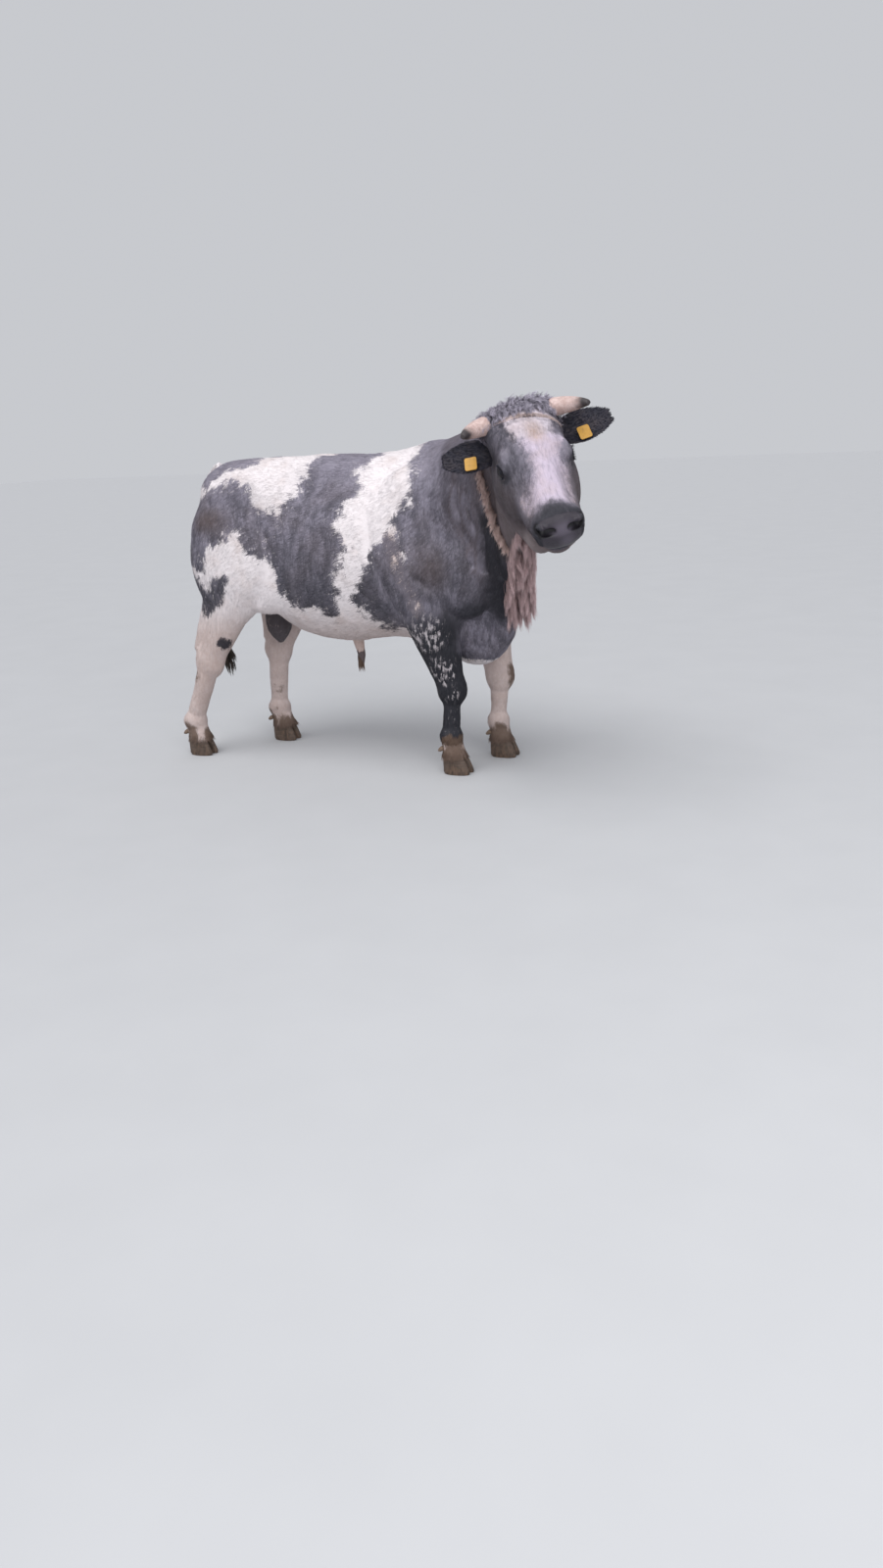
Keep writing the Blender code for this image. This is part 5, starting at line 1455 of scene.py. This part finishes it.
def lashes(ground):
    """Long dark lashes along each upper lid."""
    count = 90
    for name, side in SIDES.items():
        centre, look, along, up = eye_axes(side)
        angle = CHANCE.uniform(0.1 * math.pi, 0.9 * math.pi, count)
        lid = along * (np.cos(angle) * 0.025)[:, None] + up * (np.sin(angle) * 0.0195)[:, None]
        roots, outs = ground.nearest(centre + lid + look * 0.022)
        way = look * 0.9 - up * 0.25 + along * (np.cos(angle) * 0.5)[:, None]
        way = way + CHANCE.normal(0, 0.12, (count, 3))
        paths = hair_paths(roots - outs * 0.001, way, np.tile(up, (count, 1)),
                           CHANCE.uniform(0.01, 0.017, count), 6, CHANCE.normal(0, 0.001, count),
                           -0.002, -0.003)
        hair_piece(name + "_lashes", paths, (0.0006, 0.0011), 0.8, outs, roots, "head", "ear")


def eye_finish(name, centre, look):
    """A wet dark eye: white at its rim, a brown iris and a level pupil."""
    level = unit(np.cross(look, (0, 0, 1)))
    finish = Finish(name)
    offset = finish.vector("SUBTRACT", finish.place(), tuple(centre))
    ahead, aside = (finish.vector("DOT_PRODUCT", offset, tuple(way), "Value") for way in (look, level))
    iris = finish.mix(finish.noise(offset, 420, 3), (0.006, 0.004, 0.003), (0.02, 0.011, 0.007))
    white = finish.mix(finish.noise(offset, 160, 3), (0.05, 0.03, 0.025), (0.1, 0.07, 0.06))
    height = EYE_RADIUS * EYE_RADIUS - ahead * ahead - aside * aside * 0.72
    pupil = (1 - height.between(0.000018, 0.000034)) * ahead.between(EYE_RADIUS * 0.8, EYE_RADIUS * 0.84)
    colour = finish.layered(white, (ahead.between(EYE_RADIUS * 0.3, EYE_RADIUS * 0.4), iris),
                            (pupil, (0.004, 0.004, 0.007)))
    return finish.finish(Base_Color=colour, Roughness=0.12, Specular_IOR_Level=0.35)


def eyes():
    """Dark eyes with a wide brown iris and a level pupil, wet and a little bulged in front."""
    for name, side in SIDES.items():
        centre, look, _, _ = eye_axes(side)
        centre = placed_on_bull(centre)
        bpy.ops.object.select_all(action="DESELECT")
        bpy.ops.mesh.primitive_uv_sphere_add(segments=48, ring_count=32, radius=EYE_RADIUS)
        made = bpy.context.object
        made.name = made.data.name = name + "_eyeball"
        places = vertex_places(made.data)
        places[:, 2] += ease(places[:, 2], EYE_RADIUS * 0.8, EYE_RADIUS) * 0.0016
        turn = np.array(Vector(look).to_track_quat("Z", "Y").to_matrix())
        move_vertices(made.data, places @ turn.T + centre)
        made.data.shade_smooth()
        dressed(made, eye_finish(name + " eye", centre, look), name + "_eye")


def horn_finish():
    """Pinkish cream horn with fine growth rings, dark from two thirds on."""
    finish = Finish("horn")
    place = finish.place()
    reach = finish.read("reach")
    wave = reach * 150 + finish.noise(place, 30, 2) * 9
    rings = wave.maths("SINE", wave) * 0.5 + 0.5
    grain = finish.noise(place, 70, 4, 0.6)
    dark = (reach + (finish.noise(place, 38, 3) - 0.5) * 0.35).between(0.5, 0.84)
    root = 1 - (reach + (grain - 0.5) * 0.1).between(0.0, 0.16)
    colour = finish.layered(
        (0.47, 0.33, 0.3), (grain.between(0.3, 0.7), (0.66, 0.51, 0.48)),
        (rings * 0.25, (0.36, 0.24, 0.22)), (dark, (0.048, 0.04, 0.042)), (root * 0.7, (0.22, 0.13, 0.1)))
    height = rings * 0.5 * (1 - dark) + grain * 0.7
    return finish.finish(Base_Color=colour, Roughness=0.48, Normal=finish.bump(height, 0.55, 0.0012),
                         Specular_IOR_Level=0.4)


def horns():
    """Both horns, with how far from its root each point lies."""
    finish = horn_finish()
    for name, side in SIDES.items():
        made = rounded(copied(name + "_horn_shell", name + "_horn"))
        places = on_bull(vertex_places(made.data))
        base = np.array(HEAD @ (Vector((0.01, side * 0.15, -0.068)) * HEAD_SIZE))
        away = length_of(places - base)
        write_values(made.data, "reach", (away - away.min()) / (away.max() - away.min()))
        dressed(made, finish, name + "_horn")


def hoof_finish():
    """Brown banded horn with dried mud, most of it low down."""
    finish = Finish("hoof")
    place = finish.place()
    grown = finish.noise(place, 16, 2, 0.5, (0.4, 0.4, 9))
    grain = finish.noise(place, 90, 4, 0.6, (1, 1, 0.35))
    mud = (finish.noise(place, 26, 4, 0.65) + (0.055 - finish.parts(place)[2]) * 3).between(0.42, 0.66)
    crust = finish.mix(grain.between(0.35, 0.65), (0.04, 0.026, 0.018), (0.135, 0.084, 0.056))
    colour = finish.layered((0.04, 0.028, 0.023), (grown, (0.145, 0.098, 0.072)), (mud * 0.85, crust))
    height = grown + grain * 0.6 + mud
    return finish.finish(Base_Color=colour, Roughness=0.62, Normal=finish.bump(height, 0.5, 0.0015))


# A claw's rings from the sole up: height, share of its full size, and how far back it lies
CLAW_RINGS = [(0, 0.9, 0.0), (0.0015, 0.93, 0.0), (0.006, 0.97, -0.001), (0.012, 1.0, -0.002),
              (0.026, 0.96, -0.004), (0.045, 0.9, -0.008), (0.062, 0.83, -0.011), (0.0725, 0.78, -0.0135),
              (CORONET_HEIGHT - 0.0003, 0.76, -0.014)]


def claw(name, foot, side, finish, replaced):
    """One claw: a flat sole, a sloping toe wall with a worn edge, and nearly flat against its twin."""
    steps = 36
    rings = np.empty((len(CLAW_RINGS), steps, 3))
    for (level, (height, share, shift)), step in itertools.product(enumerate(CLAW_RINGS), range(steps)):
        angle = math.tau * (step + 0.5) / steps
        forward, outward = math.cos(angle), math.sin(angle)
        toe = 1 + 0.1 * forward + 0.06 * max(0, forward) ** 6
        reach = CLAW_WIDTH / 2 * (1 if outward > 0 else 0.75)
        flat = math.copysign(abs(outward) ** 0.85, outward)
        aside = CLAW_CLEFT / 2 + CLAW_WIDTH * 0.375 + flat * reach * (0.6 + 0.4 * share)
        rings[level, step] = (foot.x + 0.008 + shift + forward * toe * CLAW_LENGTH / 2 * share * 0.98,
                              foot.y + side * aside, height)
    made = loft(name, rings)
    only(made)
    bpy.ops.object.mode_set(mode="EDIT")
    bpy.ops.mesh.select_all(action="SELECT")
    bpy.ops.mesh.normals_make_consistent(inside=False)
    bpy.ops.object.mode_set(mode="OBJECT")
    made.data.shade_smooth()
    made.data.set_sharp_from_angle(angle=math.radians(55))
    return dressed(made, finish, replaced)


def hooves():
    """The claws in muddy horn, and the dewclaws above them in the plain brown of the frame's hooves."""
    finish = hoof_finish()
    places = (("inner", -1), ("outer", 1))
    for (end, feet), (name, side), (place, way) in itertools.product(
            (("fore", FORE_FEET), ("hind", HIND_FEET)), SIDES.items(), places):
        node = f"{name}_{end}_{place}_claw"
        claw(node + "_horn", feet[name], side * way, finish, node)
    for end, name, (place, _) in itertools.product(("fore", "hind"), SIDES, places):
        node = f"{name}_{end}_{place}_dewclaw"
        dressed(rounded(copied(node + "_horn", node)), bpy.data.materials["hoof"], node)


def ear_ways(side):
    """The ways along the ear, across it and out of its cup, in the bull's axes."""
    along = unit(HEAD_TURNED @ np.array(EAR_AIM[side], float))
    front = unit(HEAD_TURNED @ np.array((0.1, side * -0.1, 1)))
    across = unit(np.cross(along, front))
    return along, across, unit(np.cross(across, along))


def ear_finish():
    """Black short hair on the ear's back, and a bare dusky inside."""
    finish = Finish("ear")
    place = finish.place()
    grain = finish.noise(place, 160, 3)
    dusky = finish.read("inner") * finish.noise(place, 24, 3).between(0.35, 0.7) * 0.5
    colour = finish.layered((0.009, 0.009, 0.017), (grain, (0.017, 0.016, 0.03)),
                            (dusky, (0.06, 0.045, 0.048)))
    return finish.finish(Base_Color=colour, Roughness=0.75, Normal=finish.bump(grain, 0.5, 0.0015))


def ears():
    """Broad leaf ears with a cupped front, furred on both faces and ragged round the edge."""
    finish = ear_finish()
    for name, side in SIDES.items():
        made = rounded(copied(name + "_ear_leaf", name + "_ear"))
        along, across, front = ear_ways(side)
        places = on_bull(vertex_places(made.data))
        base = places[np.argmin(places @ along)]
        write_values(made.data, "inner", ease(vertex_normals(made.data) @ front, 0.1, 0.6))
        dressed(made, finish, name + "_ear")
        cover = Ground(made, "ear")
        count = int(4200 * COAT_SHARE)
        roots, normals, _ = cover.roots(count, (cover.middles - base) @ along / EAR_LENGTH[side] > 0.02)
        reach = np.clip((roots - base) @ along / EAR_LENGTH[side], 0, 1)
        aside = (roots - base) @ across
        rim = ease(np.abs(normals @ front), 0.75, 0.25)
        inner = ease(normals @ front, 0.2, 0.7)
        way = along + across * np.sign(aside)[:, None] * (0.25 + rim[:, None] * 0.35)
        way = unit(flattened(way, normals, 1 - rim[:, None] * 0.8))
        way = way + CHANCE.normal(0, 0.13, way.shape) + normals * 0.03
        length = CHANCE.uniform(0.009, 0.013, count) * (1 - rim * 0.45 + inner * 0.4 * (reach < 0.5))
        paths = hair_paths(roots - normals * 0.001, way, normals, length, 4, CHANCE.normal(0, 0.002, count),
                           0.0015, 0.001)
        spread = np.stack([np.clip(aside / 0.16 + 0.5, 0.01, 0.49) * 0.5 + 0.5 * (inner > 0.5), reach], 1)
        hair_piece(name + "_ear_hair", paths, (0.0014, 0.0026), 0.5, normals, roots, "torso", "ear",
                   spread=spread * 0.98)


def tag_finish():
    """Yellow ear tag plastic, bare, with scuffs and dust in patches."""
    finish = Finish("ear tag")
    place = finish.place()
    dust = finish.noise(place, 55, 4, 0.6)
    scuff = finish.noise(place, 260, 2).between(0.62, 0.74)
    colour = finish.layered((0.55, 0.29, 0.04), (dust.between(0.45, 0.75), (0.4, 0.22, 0.045)),
                            (scuff * 0.5, (0.36, 0.21, 0.09)))
    return finish.finish(Base_Color=colour, Roughness=0.42 + dust * 0.2,
                         Normal=finish.bump(dust + scuff, 0.3, 0.0006))


def ear_tags():
    """The bare tag in each ear, its edges rounded off."""
    finish = tag_finish()
    for name in SIDES:
        made = copied(name + "_tag_plate", name + "_ear_tag")
        edge = made.modifiers.new("edge", "BEVEL")
        edge.width = 0.0008
        edge.segments = 3
        edge.limit_method = "ANGLE"
        edge.angle_limit = math.radians(35)
        apply_modifiers(made)
        made.data.shade_smooth()
        made.data.set_sharp_from_angle(angle=math.radians(40))
        dressed(made, finish, name + "_ear_tag")


def floor():
    """A level pale floor, so wide that its edge meets the sky's colour."""
    bpy.ops.object.select_all(action="DESELECT")
    bpy.ops.mesh.primitive_plane_add(size=FLOOR_SIZE)
    made = bpy.context.object
    made.name = "floor"
    finish = Finish("pale floor")
    grain = finish.noise(finish.place(), 3.0, 3)
    colour = finish.mix(grain, (0.455, 0.46, 0.475), (0.49, 0.495, 0.51))
    made.data.materials.append(finish.finish(Base_Color=colour, Roughness=0.9))


# Where the photograph was taken from, its turn, and its lens: pixels of focal length over the height
CAMERA_PLACE = Vector((2.6, -4.58, 1.48))
CAMERA_TURN = (26.2, 17.4, -2.9)
FILM_WIDTH, FOCAL_PIXELS, PHOTO_PIXELS = 36, 1155, 1600


def camera():
    """The camera where the photograph was taken from: front right of the bull, a little higher."""
    yaw, pitch, roll = (math.radians(angle) for angle in CAMERA_TURN)
    ahead = Vector((-math.sin(yaw) * math.cos(pitch), math.cos(yaw) * math.cos(pitch), -math.sin(pitch)))
    right = Vector((math.cos(yaw), math.sin(yaw), 0))
    up = right.cross(ahead)
    across = right * math.cos(roll) + up * math.sin(roll)
    above = up * math.cos(roll) - right * math.sin(roll)
    data = bpy.data.cameras.new("camera")
    data.lens = FILM_WIDTH * FOCAL_PIXELS / PHOTO_PIXELS
    data.sensor_width = FILM_WIDTH
    data.clip_end = 200
    made = bpy.data.objects.new("camera", data)
    turn = Matrix((across, above, -ahead)).transposed()
    made.matrix_world = Matrix.Translation(CAMERA_PLACE + STAND) @ turn.to_4x4()
    bpy.context.scene.collection.objects.link(made)
    bpy.context.scene.camera = made


def lights():
    """An even pale sky and two broad soft lamps."""
    world = bpy.data.worlds.new("studio")
    world.use_nodes = True
    world.node_tree.nodes["Background"].inputs["Color"].default_value = (0.93, 0.95, 1.0, 1)
    world.node_tree.nodes["Background"].inputs["Strength"].default_value = 0.62
    bpy.context.scene.world = world
    bpy.context.scene.view_settings.view_transform = "Standard"
    for name, kind, place, size, power in (("overhead", "SUN", (-0.5, -2.2, 5.5), math.radians(50), 2.0),
                                           ("front", "AREA", (4.5, -5.0, 3.5), 3.5, 150)):
        data = bpy.data.lights.new(name, kind)
        data.energy = power
        if kind == "SUN":
            data.angle = size
        else:
            data.size = size
        made = bpy.data.objects.new(name, data)
        made.location = place
        made.rotation_euler = (Vector((0, 0, 0.9)) - Vector(place)).to_track_quat("-Z", "Y").to_euler()
        bpy.context.scene.collection.objects.link(made)


floor()
camera()
lights()
# Each kind of hair: its finish's name, and its colours at the root and the tip
HAIR_COLOURS = {
    "throat": ("throat hair", (0.33, 0.22, 0.215), (0.86, 0.64, 0.65)),
    "frill": ("frill hair", (0.38, 0.25, 0.225), (0.95, 0.74, 0.69)),
    "poll": ("poll curls", (0.085, 0.078, 0.1), (0.78, 0.72, 0.86)),
    "switch": ("wet switch", (0.018, 0.014, 0.012), (0.075, 0.055, 0.042)),
    "navel": ("sheath hair", (0.05, 0.032, 0.025), (0.3, 0.19, 0.14)),
    "ear": ("ear hair", (0.007, 0.007, 0.014), (0.024, 0.022, 0.044)),
}
FINISHES = {"coat": coat_finish("coat")}
FINISHES.update((kind, long_hair_finish(*colours)) for kind, colours in HAIR_COLOURS.items())
hide = skin()
ground = Ground(hide)
body_coat(ground)
poll_curls(ground)
dewlap()
throat_frill(ground)
tail_switch()
sheath_tuft()
eyes()
lashes(ground)
horns()
hooves()
ears()
ear_tags()
